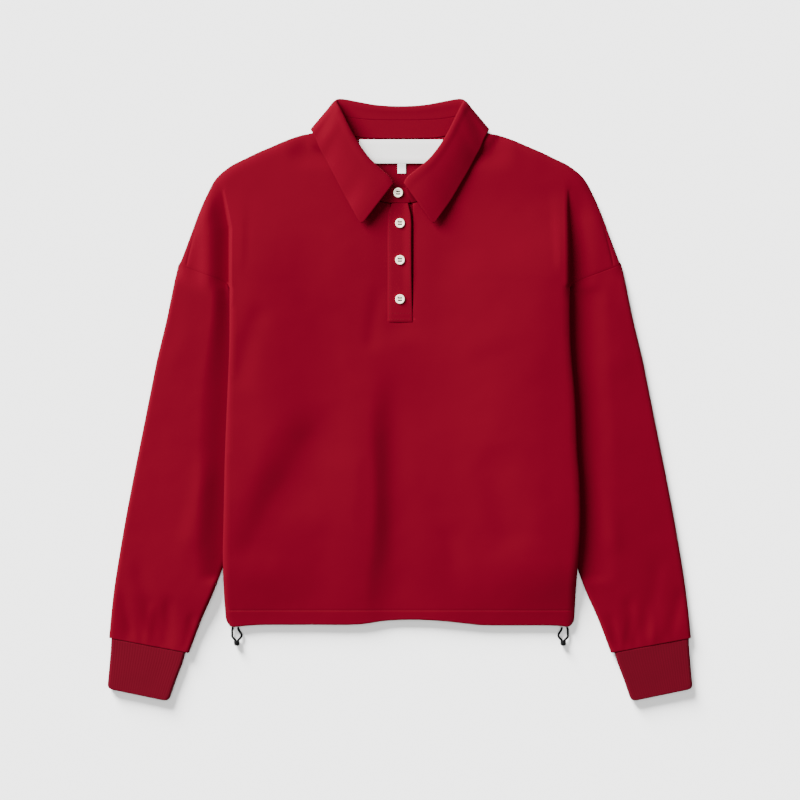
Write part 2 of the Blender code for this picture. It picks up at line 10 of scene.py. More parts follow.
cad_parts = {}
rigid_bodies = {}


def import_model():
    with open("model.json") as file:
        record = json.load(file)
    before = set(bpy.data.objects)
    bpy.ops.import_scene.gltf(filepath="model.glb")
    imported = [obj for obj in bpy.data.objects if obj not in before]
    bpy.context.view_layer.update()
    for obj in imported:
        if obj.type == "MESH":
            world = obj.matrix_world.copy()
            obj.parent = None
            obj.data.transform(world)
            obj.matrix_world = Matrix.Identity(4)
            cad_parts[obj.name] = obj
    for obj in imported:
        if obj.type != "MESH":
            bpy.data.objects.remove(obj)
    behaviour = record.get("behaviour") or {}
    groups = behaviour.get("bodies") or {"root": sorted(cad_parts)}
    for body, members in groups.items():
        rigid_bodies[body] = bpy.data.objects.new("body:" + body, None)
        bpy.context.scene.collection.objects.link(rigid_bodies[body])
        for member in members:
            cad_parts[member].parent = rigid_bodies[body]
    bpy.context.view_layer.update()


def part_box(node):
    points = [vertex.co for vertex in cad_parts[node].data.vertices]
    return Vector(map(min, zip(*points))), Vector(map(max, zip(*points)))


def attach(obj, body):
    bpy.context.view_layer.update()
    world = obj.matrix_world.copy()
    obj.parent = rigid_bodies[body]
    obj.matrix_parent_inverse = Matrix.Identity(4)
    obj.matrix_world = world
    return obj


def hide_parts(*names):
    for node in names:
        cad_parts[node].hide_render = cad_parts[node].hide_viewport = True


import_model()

mm = 0.001  # sizes in this file are millimetres until a mesh is made


# Camera straight above, as the photograph was taken; 1 m of the surface fills the frame
view = {"wide": 1.0, "lens": 100.0, "sensor": 36.0, "clothLevel": 0.008}


def added(name, data):
    obj = bpy.data.objects.new(name, data)
    bpy.context.scene.collection.objects.link(obj)
    return obj


def makeCamera():
    data = bpy.data.cameras.new("camera")
    data.lens = view["lens"]
    data.sensor_width = view["sensor"]
    data.clip_end = 20.0
    camera = added("camera", data)
    camera.location = (0, 0, view["wide"] * view["lens"] / view["sensor"] + view["clothLevel"])
    bpy.context.scene.camera = camera


makeCamera()


# Small tools

def smooth(v):
    v = np.clip(v, 0.0, 1.0)
    return v * v * (3.0 - 2.0 * v)


def roundOff(d, radius):
    # quarter circle: 0 at the edge, 1 from radius inwards
    t = 1 - np.clip(np.asarray(d, float) / radius, 0, 1)
    return np.sqrt(np.clip(1 - t * t, 0, 1))


def curveThrough(rows, step):
    pts = np.array(rows, float)
    out = []
    for k in range(len(pts) - 1):
        a, b = pts[k], pts[k + 1]
        before = pts[k - 1] if k else 2 * a - b
        after = pts[k + 2] if k + 2 < len(pts) else 2 * b - a
        n = max(1, int(round(np.linalg.norm(b - a) / step)))
        for t in np.arange(n) / n:
            out.append(0.5 * (2 * a + (b - before) * t + (2 * before - 5 * a + 4 * b - after) * t * t
                              + (3 * a - before - 3 * b + after) * t ** 3))
    out.append(pts[-1])
    return np.array(out)


def runAlong(grid, axis=0):
    # length from the first point to each of the others
    steps = np.linalg.norm(np.diff(grid, axis=axis), axis=-1)
    return np.insert(np.cumsum(steps, axis=axis), 0, 0.0, axis=axis)


def evenSteps(path, step):
    path = np.asarray(path, float)
    far = runAlong(path)
    n = max(1, int(round(far[-1] / step)))
    at = np.linspace(0, far[-1], n + 1)
    return np.column_stack([np.interp(at, far, path[:, k]) for k in range(path.shape[1])])


def through(grid, shares, axis):
    # smooth surface points between knots along one axis; shares lists the steps of each interval
    g = np.moveaxis(np.asarray(grid, float), axis, 0)
    h = np.linalg.norm(np.diff(g, axis=0), axis=-1)
    h = h.reshape(len(h), -1).mean(axis=1) + 1e-9
    shape = (-1,) + (1,) * (g.ndim - 1)
    slope = np.diff(g, axis=0) / h.reshape(shape)
    tangent = np.empty_like(g)
    tangent[0], tangent[-1] = slope[0], slope[-1]
    a, b = h[:-1].reshape(shape), h[1:].reshape(shape)
    tangent[1:-1] = (b * slope[:-1] + a * slope[1:]) / (a + b)
    out = []
    for k in range(len(h)):
        steps = shares[k] if k < len(shares) else shares[-1]
        ts = np.arange(steps) / steps if isinstance(steps, int) else steps
        for t in ts:
            h00, h10 = 2 * t ** 3 - 3 * t ** 2 + 1, t ** 3 - 2 * t ** 2 + t
            h01, h11 = -2 * t ** 3 + 3 * t ** 2, t ** 3 - t ** 2
            out.append(h00 * g[k] + h10 * h[k] * tangent[k] + h01 * g[k + 1] + h11 * h[k] * tangent[k + 1])
    out.append(g[-1])
    return np.moveaxis(np.array(out), 0, axis)


def lattice(seed, pitch, x, y):
    # soft unevenness of about 1 either way, with hills pitch millimetres apart
    values = np.random.default_rng(seed).uniform(-1, 1, (160, 160))
    u, v = np.asarray(x) / pitch + 70, np.asarray(y) / pitch + 70
    i, j = np.floor(u).astype(int), np.floor(v).astype(int)
    s, t = smooth(u - i), smooth(v - j)
    i, j = i % 159, j % 159
    low = values[i, j] * (1 - s) + values[i + 1, j] * s
    high = values[i, j + 1] * (1 - s) + values[i + 1, j + 1] * s
    return low * (1 - t) + high * t


def distanceTo(pts, lines):
    best = np.full(len(pts), 1e9)
    for line in lines:
        for a, b in zip(line[:-1], line[1:]):
            ab = b - a
            t = np.clip(((pts - a) @ ab) / max(ab @ ab, 1e-9), 0, 1)
            best = np.minimum(best, np.linalg.norm(pts - a - t[:, None] * ab, axis=1))
    return best


def insideLoop(pts, loop):
    x, y = pts[:, 0], pts[:, 1]
    hit = np.zeros(len(pts), bool)
    for (x0, y0), (x1, y1) in zip(loop, np.roll(loop, -1, axis=0)):
        if y0 == y1:
            continue
        hit ^= ((y0 > y) != (y1 > y)) & (x < x0 + (y - y0) * (x1 - x0) / (y1 - y0))
    return hit


def settled(obj, slot, *replaced):
    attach(obj, "root")
    if replaced:
        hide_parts(*replaced)
    return obj


def meshPiece(name, verts, faces, uv, material, slot, replaces=()):
    # verts in millimetres; uv holds one pair in metres for each vertex
    mesh = bpy.data.meshes.new(name)
    mesh.from_pydata((np.asarray(verts, float) * mm).tolist(), [], faces)
    form = bmesh.new()
    form.from_mesh(mesh)
    if form.calc_volume(signed=True) < 0:
        bmesh.ops.reverse_faces(form, faces=form.faces[:])
        form.to_mesh(mesh)
    form.free()
    layer = mesh.uv_layers.new(name="cloth")
    index = np.empty(len(mesh.loops), np.int32)
    mesh.loops.foreach_get("vertex_index", index)
    layer.data.foreach_set("uv", np.asarray(uv, np.float32)[index].ravel())
    mesh.validate()
    mesh.shade_smooth()
    mesh.materials.append(material)
    return settled(added(name, mesh), slot, *replaces)


def skinFaces(m, n, closed=False):
    # quads of two skins of m by n points, and of the edges that join them; closed runs round a tube
    def at(i, j, skin):
        return skin * m * n + i * n + j % n

    faces = []
    for j in range(n if closed else n - 1):
        for i in range(m - 1):
            faces.append((at(i, j, 0), at(i + 1, j, 0), at(i + 1, j + 1, 0), at(i, j + 1, 0)))
            faces.append((at(i, j, 1), at(i, j + 1, 1), at(i + 1, j + 1, 1), at(i + 1, j, 1)))
        faces.append((at(0, j, 0), at(0, j + 1, 0), at(0, j + 1, 1), at(0, j, 1)))
        faces.append((at(m - 1, j, 0), at(m - 1, j, 1), at(m - 1, j + 1, 1), at(m - 1, j + 1, 0)))
    for i in range(0 if closed else m - 1):
        faces.append((at(i, 0, 0), at(i, 0, 1), at(i + 1, 0, 1), at(i + 1, 0, 0)))
        faces.append((at(i, n - 1, 0), at(i + 1, n - 1, 0), at(i + 1, n - 1, 1), at(i, n - 1, 1)))
    return faces


# Materials: the cloth's knit, fuzz and unevenness come from groups that every cloth shares

def setInputs(node, values):
    for label, value in values.items():
        node.inputs[label].default_value = value
    return node


def newMaterial(name):
    mat = bpy.data.materials.new(name)
    mat.use_nodes = True
    return mat, mat.node_tree, mat.node_tree.nodes["Principled BSDF"]


def newGroup(name, inputs, outputs):
    group = bpy.data.node_groups.new(name, "ShaderNodeTree")
    for label, kind, value in inputs:
        socket = group.interface.new_socket(name=label, in_out='INPUT', socket_type=kind)
        if value is not None:
            socket.default_value = value
    for label, kind in outputs:
        group.interface.new_socket(name=label, in_out='OUTPUT', socket_type=kind)
    return group, group.nodes.new("NodeGroupInput"), group.nodes.new("NodeGroupOutput")


def mathNode(tree, how, a, b=None, c=None):
    node = tree.nodes.new("ShaderNodeMath")
    node.operation = how
    for k, value in enumerate((a, b, c)):
        if value is None:
            continue
        if isinstance(value, (int, float)):
            node.inputs[k].default_value = value
        else:
            tree.links.new(value, node.inputs[k])
    return node.outputs[0]


def knitGroup():
    # columns of small V stitches; Position is in metres on the cloth
    group, start, end = newGroup("knitFace", [
        ("Position", "NodeSocketVector", None), ("Columns per metre", "NodeSocketFloat", 950.0),
        ("Rows per metre", "NodeSocketFloat", 1250.0), ("Slant", "NodeSocketFloat", 0.35)],
        [("Height", "NodeSocketFloat")])
    link = group.links.new
    split = group.nodes.new("ShaderNodeSeparateXYZ")
    link(start.outputs["Position"], split.inputs[0])
    across = mathNode(group, 'MULTIPLY', split.outputs[0], start.outputs["Columns per metre"])
    along = mathNode(group, 'MULTIPLY', split.outputs[1], start.outputs["Rows per metre"])
    column = mathNode(group, 'PINGPONG', across, 0.5)
    lean = mathNode(group, 'MULTIPLY', column, start.outputs["Slant"])
    row = mathNode(group, 'FRACT', mathNode(group, 'ADD', along, mathNode(group, 'MULTIPLY', lean, 4.0)))
    hump = mathNode(group, 'SINE', mathNode(group, 'MULTIPLY', row, math.pi))
    rib = mathNode(group, 'SINE', mathNode(group, 'MULTIPLY', column, 2 * math.pi))
    link(mathNode(group, 'MULTIPLY', hump, rib), end.inputs["Height"])
    return group


def ribGroup():
    # ribs that run along the piece's length
    group, start, end = newGroup("ribFace", [
        ("Position", "NodeSocketVector", None), ("Ribs per metre", "NodeSocketFloat", 330.0)],
        [("Height", "NodeSocketFloat")])
    split = group.nodes.new("ShaderNodeSeparateXYZ")
    group.links.new(start.outputs["Position"], split.inputs[0])
    across = mathNode(group, 'MULTIPLY', split.outputs[0], start.outputs["Ribs per metre"])
    wave = mathNode(group, 'SINE', mathNode(group, 'MULTIPLY', mathNode(group, 'FRACT', across), math.pi))
    group.links.new(wave, end.inputs["Height"])
    return group


def shadeGroup():
    # slow and fine unevenness of the dye, as a factor near 1
    group, start, end = newGroup("dyeShade", [
        ("Position", "NodeSocketVector", None), ("Broad", "NodeSocketFloat", 0.06),
        ("Fine", "NodeSocketFloat", 0.08)], [("Factor", "NodeSocketFloat"), ("Fuzz", "NodeSocketFloat")])
    link = group.links.new
    parts = []
    for label, values in (("Broad", {"Scale": 14.0, "Detail": 3.0}),
                          ("Fine", {"Scale": 900.0, "Detail": 4.0, "Roughness": 0.7})):
        noise = setInputs(group.nodes.new("ShaderNodeTexNoise"), values)
        link(start.outputs["Position"], noise.inputs["Vector"])
        centred = mathNode(group, 'SUBTRACT', noise.outputs["Fac"], 0.5)
        parts.append(mathNode(group, 'MULTIPLY', centred, start.outputs[label]))
    link(mathNode(group, 'ADD', mathNode(group, 'ADD', *parts), 1.0), end.inputs["Factor"])
    link(noise.outputs["Fac"], end.inputs["Fuzz"])
    return group


groups = {"knit": knitGroup(), "rib": ribGroup(), "shade": shadeGroup()}


# groove sets how strongly the knit's grooves are painted darker, as painted shade, and the stitch tops
# lighter
def clothMaterial(name, colour, face="knit", bump=0.12, rough=0.92, sheen=0.06, sheenTint=(1, 1, 1),
                  broad=0.10, fine=0.10, depth=0.00025, groove=0.12):
    mat, tree, shader = newMaterial(name)
    link = tree.links.new
    setInputs(shader, {"Roughness": rough, "Sheen Weight": sheen, "Sheen Roughness": 0.5,
                       "Sheen Tint": (*sheenTint, 1), "Specular IOR Level": 0.12})
    place = tree.nodes.new("ShaderNodeTexCoord")
    pattern = tree.nodes.new("ShaderNodeGroup")
    pattern.node_tree = groups[face]
    shade = tree.nodes.new("ShaderNodeGroup")
    shade.node_tree = groups["shade"]
    setInputs(shade, {"Broad": broad, "Fine": fine})
    link(place.outputs["UV"], pattern.inputs["Position"])
    link(place.outputs["Object"], shade.inputs["Position"])
    mix = tree.nodes.new("ShaderNodeMix")
    mix.data_type = 'RGBA'
    mix.blend_type = 'MULTIPLY'
    setInputs(mix, {"Factor": 1.0, "A": (*colour, 1)})
    grey = tree.nodes.new("ShaderNodeCombineColor")
    # painted shade: the base colour is darkened in the knit's grooves and lightened on the raised stitches,
    # by groove times the stitch height
    grooveShade = mathNode(tree, 'MULTIPLY', pattern.outputs["Height"], groove)
    total = mathNode(tree, 'ADD', mathNode(tree, 'MULTIPLY', shade.outputs["Factor"], 1 - groove / 2), grooveShade)
    for k in range(3):
        link(total, grey.inputs[k])
    link(grey.outputs[0], mix.inputs["B"])
    link(mix.outputs["Result"], shader.inputs["Base Color"])
    fuzz = mathNode(tree, 'MULTIPLY', shade.outputs["Fuzz"], 0.8)
    height = mathNode(tree, 'ADD', pattern.outputs["Height"], fuzz)
    relief = setInputs(tree.nodes.new("ShaderNodeBump"), {"Strength": bump, "Distance": depth})
    link(height, relief.inputs["Height"])
    link(relief.outputs[0], shader.inputs["Normal"])
    return mat


def plainMaterial(name, colour, rough, spec=0.5, coat=0.0, uneven=0.06, scale=300.0):
    mat, tree, shader = newMaterial(name)
    setInputs(shader, {"Roughness": rough, "Specular IOR Level": spec, "Coat Weight": coat})
    place = tree.nodes.new("ShaderNodeTexCoord")
    cloud = setInputs(tree.nodes.new("ShaderNodeTexNoise"), {"Scale": scale})
    tree.links.new(place.outputs["Object"], cloud.inputs["Vector"])
    ramp = tree.nodes.new("ShaderNodeValToRGB")
    ramp.color_ramp.elements[0].color = (*[c * (1 - uneven) for c in colour], 1)
    ramp.color_ramp.elements[1].color = (*[min(1, c * (1 + uneven)) for c in colour], 1)
    tree.links.new(cloud.outputs["Fac"], ramp.inputs[0])
    tree.links.new(ramp.outputs[0], shader.inputs["Base Color"])
    return mat


finishes = {
    "jersey": clothMaterial("redJersey", (0.268, 0.002, 0.019), sheenTint=(1.0, 0.1, 0.2)),
    "rib": clothMaterial("redRib", (0.205, 0.003, 0.018), face="rib", bump=0.3, depth=0.0004, groove=0.08,
                         sheen=0.12, sheenTint=(1.0, 0.5, 0.6)),
    "label": clothMaterial("whiteLabel", (0.80, 0.79, 0.77), bump=0.08, rough=0.6, sheen=0.0, broad=0.03,
                           fine=0.03),
    "button": plainMaterial("creamButton", (0.95, 0.85, 0.66), 0.35, coat=0.1, uneven=0.03),
    "cord": plainMaterial("blackElastic", (0.006, 0.006, 0.007), 0.85, spec=0.1, scale=900.0),
    "bead": plainMaterial("blackBead", (0.008, 0.008, 0.009), 0.45, spec=0.3),
    "thread": plainMaterial("redThread", (0.22, 0.004, 0.014), 0.7, spec=0.3, scale=2000.0),
    "buttonThread": plainMaterial("darkThread", (0.012, 0.008, 0.008), 0.8, spec=0.1, scale=2000.0),
}


# Cord loops at the hem, black elastic that turns inside its stopper bead

loopSizes = {"wide": 2.7, "hemY": -284.1, "middle": 206.0, "turn": 1.42,
             "beadX": 204.4, "beadTop": -301.2, "beadZ": 3.5}


def cordRoute(side):
    s = loopSizes
    middle, beadX = side * s["middle"], side * s["beadX"]
    top, hemY, beadZ = s["beadTop"], s["hemY"], s["beadZ"]
    # the middle that a point lies beside, how far out, y and height, from the hem to the bead
    half = [(middle, 3.2, hemY - 0.55, 3.2), (middle, 4.2, hemY - 4, 2.6), (beadX, 5.8, hemY - 9.4, 2.4),
            (beadX, 5.7, top + 4.9, 2.6), (beadX, 3.7, top + 2.3, 3.1), (beadX, 1.8, top + 0.6, beadZ),
            (beadX, 1.45, top - 0.8, beadZ)]
    route = [(x - out, y, z) for x, out, y, z in half]
    for t in np.radians(range(0, 181, 30)):
        route.append((beadX - s["turn"] * math.cos(t), top - 2.3 - s["turn"] * math.sin(t), beadZ))
    route += [(x + out, y, z) for x, out, y, z in half[::-1]]
    return curveThrough(route, 0.8)


def makeCord(side):
    word = "left" if side < 0 else "right"
    pts = cordRoute(side)
    curve = bpy.data.curves.new("loop_" + word, 'CURVE')
    curve.dimensions = '3D'
    curve.bevel_depth = loopSizes["wide"] / 2 * mm
    curve.bevel_resolution = 5
    curve.use_fill_caps = True
    spline = curve.splines.new('POLY')
    spline.points.add(len(pts) - 1)
    for point, co in zip(spline.points, pts):
        point.co = (*(co * mm), 1.0)
    curve.materials.append(finishes["cord"])
    obj = settled(added("loop_" + word, curve), "cord", "cord_" + word)
    bead = bpy.data.objects["bead_" + word]
    bead.data.materials.clear()
    bead.data.materials.append(finishes["bead"])


makeCord(-1)
makeCord(1)


# The shirt's plan: right half of the outline, x outwards and y up; the left half mirrors it

plan = {
    "shoulder": [(84.5, 346), (98, 339.5), (111, 333.6), (125, 331), (142.5, 325), (160, 317.5), (177.5, 310),
                 (195, 301.5), (212.5, 292.5), (230, 277.5), (241.3, 257.5), (251.3, 235), (262.5, 205),
                 (273.8, 175), (277.3, 169)],
    "armhole": [(277.3, 169), (250, 158.6), (226, 149.8), (215.2, 144)],
    "frontNeck": [(15.7, 246.3), (28, 249.2), (42, 255), (56, 264.5), (68, 277.3), (77, 293), (82, 310),
                  (84, 328), (84.5, 346)],
    "backNeck": [(0, 326.8), (30, 327.2), (50, 328.6), (65, 332.6), (75, 338.2), (84.5, 346)],
    # y, distance out on the left, distance out on the right
    "sides": [(140, 213, 212), (100, 213, 212), (60, 213.5, 213.5), (0, 216, 218.5), (-62, 218.5, 221),
              (-100, 219.5, 224), (-150, 220.5, 225), (-200, 221.5, 222.5), (-240, 220.5, 220),
              (-270, 218.5, 218.5), (-276.5, 217.4, 217.8), (-280.6, 214.8, 215.2)],
    "hem": [(-212.6, -282.8), (-208.5, -284), (-177, -281.6), (-120, -281.2), (-55, -281), (-20, -276.5),
            (15, -275), (50, -276.4), (85, -280), (110, -282), (190, -282.2), (208.5, -284), (212.6, -282.8)],
    # outer x, y and inner x, y, from armhole to cuff
    "sleeve": [(277.4, 168.4, 214.4, 142.6), (282, 148, 209, 131), (287, 124, 204.5, 119),
               (292, 100, 201, 98), (298, 75, 197, 72), (304, 50, 192, 44), (309, 25, 189.5, 12),
               (314, 0, 189, -25), (324, -50, 191, -76), (334, -100, 196, -124), (343.5, -150, 207, -168),
               (351.5, -197, 221, -207), (357, -232, 233, -240), (361, -265, 248, -274),
               (364.2, -297.6, 264, -316.4)],
    "cuff": [(361.4, -298.5, 268.5, -315.92), (362.2, -313, 272.3, -329.5), (364.3, -338, 280.5, -351),
             (366.4, -361, 289.3, -377)],
    "hemLine": -263.0,
}

# air lies between front and back; the lifts are heights over the left sleeve, the right one and the fall
cloth = {"thick": 1.8, "hemThick": 1.95, "gap": 0.45, "air": 4.6, "tuckLift": 7.1, "rightLift": 11.4,
         "fallLift": 2.8, "leftRound": 5.0, "rightRound": 9.0, "shoulderRound": 12.0, "slotHalf": 15.7}

# Soft folds of the front, each listed: ends, width to its right and left, height, how uneven
frontFolds = [
    (-7, 66, -8, -285, 30, 17, -1.9, 0.25),      # long trough below the placket
    (-36, 40, -41, -285, 16, 56, 4.2, 0.2),      # broad ridge at its left
    (-84, 0, -200, -212, 40, 22, -3.2, 0.25),    # slanting trough at the left
    (-128, 10, -212, -150, 20, 22, 0.9, 0.3),    # ridge at its left
    (-70, 80, -118, -235, 36, 36, 1.0, 0.3),     # broad swell between the two troughs
    (-172, 128, -204, 14, 14, 12, -1.6, 0.4),    # dent beside the left armhole
    (-22, 150, -36, 60, 12, 9, -1.3, 0.4),       # short trough from the placket's lower half
    (112, -52, 140, -190, 26, 20, -1.6, 0.4),    # trough low on the right
    (78, 190, 126, 60, 30, 40, 0.9, 0.4),        # swell of the right chest
    (60, -150, 66, -255, 14, 12, -0.9, 0.4),     # faint trough above the hem
    (-60, 210, -110, 120, 30, 36, 0.7, 0.4),     # swell of the left chest
]


def sidePath(side, step):
    return curveThrough([((-left if side < 0 else right), y) for y, left, right in plan["sides"]], step)


def sideEdge(y, side):
    rows = np.array(plan["sides"], float)[::-1]
    return np.interp(y, rows[:, 0], rows[:, 1 if side < 0 else 2])


def panelLoop(neck, step):
    def inwards(name):
        return evenSteps(curveThrough(plan[name], step)[::-1], step)

    hem = evenSteps(curveThrough(plan["hem"], step), step)
    sideRight = evenSteps(sidePath(1, step)[::-1], step)
    right = np.vstack([inwards("armhole")[:-1], inwards("shoulder")[:-1], inwards(neck)])
    left = right[::-1] * (-1, 1)
    if neck == "frontNeck":
        # the upper strip hides the slot's left and lower edges; the right edge shows
        shown = [(cloth["slotHalf"], 246.3), (16.9, 222), (17.0, 180), (16.2, 120), (14.5, 101)]
        rest = [evenSteps(shown, step)[1:], evenSteps([(-12, 101), (-12, 246)], step), left]
    else:
        rest = [left[1:]]
    return np.vstack([hem, sideRight, right] + rest + [evenSteps(sidePath(-1, step), step)])


foldLines = []
for sign in (-1, 1):
    foldLines += [curveThrough(plan["shoulder"], 8) * (sign, 1), sidePath(sign, 10)]


def tuckedEdge(y):
    rows = np.array([(row[3], row[2]) for row in plan["sleeve"]])[::-1]
    return np.interp(y, rows[:, 0], rows[:, 1])


def tuckStart(y):
    # how far out the body starts to rise over the sleeve tucked beside it
    return np.minimum(np.minimum(tuckedEdge(y - 22), tuckedEdge(y + 22)), 207)


def sideLift(x):
    # the body lies higher over the right sleeve
    return np.where(x > 0, cloth["rightLift"], cloth["tuckLift"])


def lift(x, y):
    # height of the back's underside where it lies on the tucked sleeves and on the collar fall
    out = np.abs(x)
    ramp = smooth((out - tuckStart(y) + 31) / 22)
    tuck = sideLift(x) * ramp * bodyEdge(x, y) * smooth((y + 275) / 110) * (1 - smooth((y - 165) / 102))
    edge = np.where(out < 111, 318 + 16 * (out / 111) ** 3, 334 + (out - 111) * 1.3)
    return tuck + cloth["fallLift"] * smooth((y - edge + 23) / 13)


def foldsAt(rows, x, y, seed):
    total = np.zeros_like(x)
    for n, (x0, y0, x1, y1, wideA, wideB, high, uneven) in enumerate(rows):
        long = math.hypot(x1 - x0, y1 - y0)
        ux, uy = (x1 - x0) / long, (y1 - y0) / long
        along = (x - x0) * ux + (y - y0) * uy
        off = (x - x0) * -uy + (y - y0) * ux + 4 * lattice(seed + n, 70, along, along * 0)
        ends = smooth(along / (0.28 * long)) * smooth((long * 1.05 - along) / (0.22 * long))
        size = 1 + uneven * lattice(seed + 30 + n, 45, along, along * 0)
        total += high * size * ends * np.exp(-(off / np.where(off > 0, wideA, wideB)) ** 2)
    return total


def hemSwell(y):
    return (cloth["hemThick"] - cloth["thick"]) * smooth((plan["hemLine"] - y) / 1.6)


def hemGroove(y):
    # the sewn line at the top of the hem
    return -0.3 * np.exp(-((y - plan["hemLine"]) / 1.0) ** 2)


def bridge(x, y):
    # the front hangs from the raised sides in one long slope, not in the back's short step
    ends = smooth((y + 290) / 90) * (1 - smooth((y - 150) / 115))
    reach = np.where(x > 0, 158, 110)
    long = sideLift(x) * smooth((np.abs(x) - tuckStart(y) + reach + 8) / reach) * bodyEdge(x, y) * ends
    return np.maximum(long - lift(x, y), 0)


def creaseLine(x, y):
    # where the body's edge stands up beside the upper arm, and on below it as the side
    return np.where(x < 0, 213.0 + np.maximum(y - 215, 0) * 0.2, 211.4)


def bodyEdge(x, y):
    # 1 on the body, falling in a round edge to 0 at the crease; only above the armhole
    return np.where(y > 141, roundOff(creaseLine(x, y) - np.abs(x), 1.8), 1.0)


def armValley(x, y):
    # the hollow between the upper arm and the body, its far bank, and the body's own edge
    out = np.abs(x) - creaseLine(x, y)
    along = smooth((y - 118) / 20) * (1 - smooth((y - 228) / 50))
    edge = smooth((out + 3) / 3)
    hollow = edge * np.where(x < 0, 1 - smooth((out + 2) / 22), 1 - 0.5 * smooth((out - 12) / 26))
    bank = np.where(x < 0, 4.0, 0.4) * np.exp(-((out - 27) / 11) ** 2)
    return along * hollow, along * bank


def placketPart(x, y):
    # 1 beside the placket, where the front lies as in the solids
    return np.exp(-(x / 30) ** 2) * smooth((y - 66) / 28) * (1 - smooth((y - 262) / 15))


# Seams that show as a fine groove in the front: the forward shoulder seam, right half
groove = [(253, 226), (256.6, 212), (260.6, 196), (264.6, 180), (266.8, 169)]
grooveLines = [curveThrough(groove, 4) * (sign, 1) for sign in (-1, 1)]
armholes = [curveThrough(plan["armhole"], 4) * (sign, 1) for sign in (-1, 1)]


def grooveDepth(pts):
    # depth and half width of the groove at each seam
    shoulder = np.exp(-(distanceTo(pts, grooveLines) / 1.3) ** 2)
    armhole = np.exp(-(distanceTo(pts, armholes) / 1.5) ** 2)
    return 0.7 * shoulder + 0.5 * armhole


def backFaces(x, y):
    under = lift(x, y)
    return under, under + cloth["thick"] + hemSwell(y)


def frontFaces(x, y):
    pts = np.column_stack([x, y])
    shoulders, sides = distanceTo(pts, foldLines[::2]), distanceTo(pts, foldLines[1::2])
    neckPart = smooth((y - 285) / 25) * (1 - smooth((np.abs(x) - 115) / 30))
    air = cloth["air"] - 3.0 * neckPart + foldsAt(frontFolds, x, y, 11)
    air = air * (1 - 0.45 * smooth((-150 - y) / 130))
    air = air + 0.35 * lattice(3, 55, x, y) + 0.12 * lattice(4, 17, x, y)
    hollow, raised = armValley(x, y)
    air = np.clip(air, 0.25, 9) * (1 - 0.94 * hollow) + raised
    near = placketPart(x, y)
    air = air * (1 - near) + 2.8 * near + bridge(x, y)
    sideRound = np.where(x < 0, cloth["leftRound"], cloth["rightRound"])
    air = air * roundOff(shoulders, cloth["shoulderRound"]) * roundOff(sides, sideRound)
    under = backFaces(x, y)[1] + cloth["gap"] + air
    pucker = 0.10 * np.exp(-((y - plan["hemLine"]) / 9) ** 2) * lattice(5, 4.5, x * 1.6, y * 0.5)
    top = under + cloth["thick"] + hemSwell(y) + hemGroove(y) + pucker - grooveDepth(pts)
    return under, top


def frontTop(x, y):
    x, y = np.atleast_1d(np.asarray(x, float)), np.atleast_1d(np.asarray(y, float))
    return frontFaces(x.ravel(), y.ravel())[1].reshape(x.shape)


def backTop(x, y):
    return backFaces(np.asarray(x, float), np.asarray(y, float))[1]


# millimetres: rings of points inside the outline, how far the others keep from it, offsets beside a groove
# and the hem line, and the band of close points along the raised edges: x, y and both pitches
panelMesh = {"rings": (0.35, 1.1, 2.2), "clear": 3.6, "beside": (-2.4, -1.4, -0.7, 0, 0.7, 1.4, 2.4),
             "hemRows": (-2.4, 2.5, 0.8), "band": (208.6, 224, 118, 262), "bandPitch": (1.3, 3.1)}


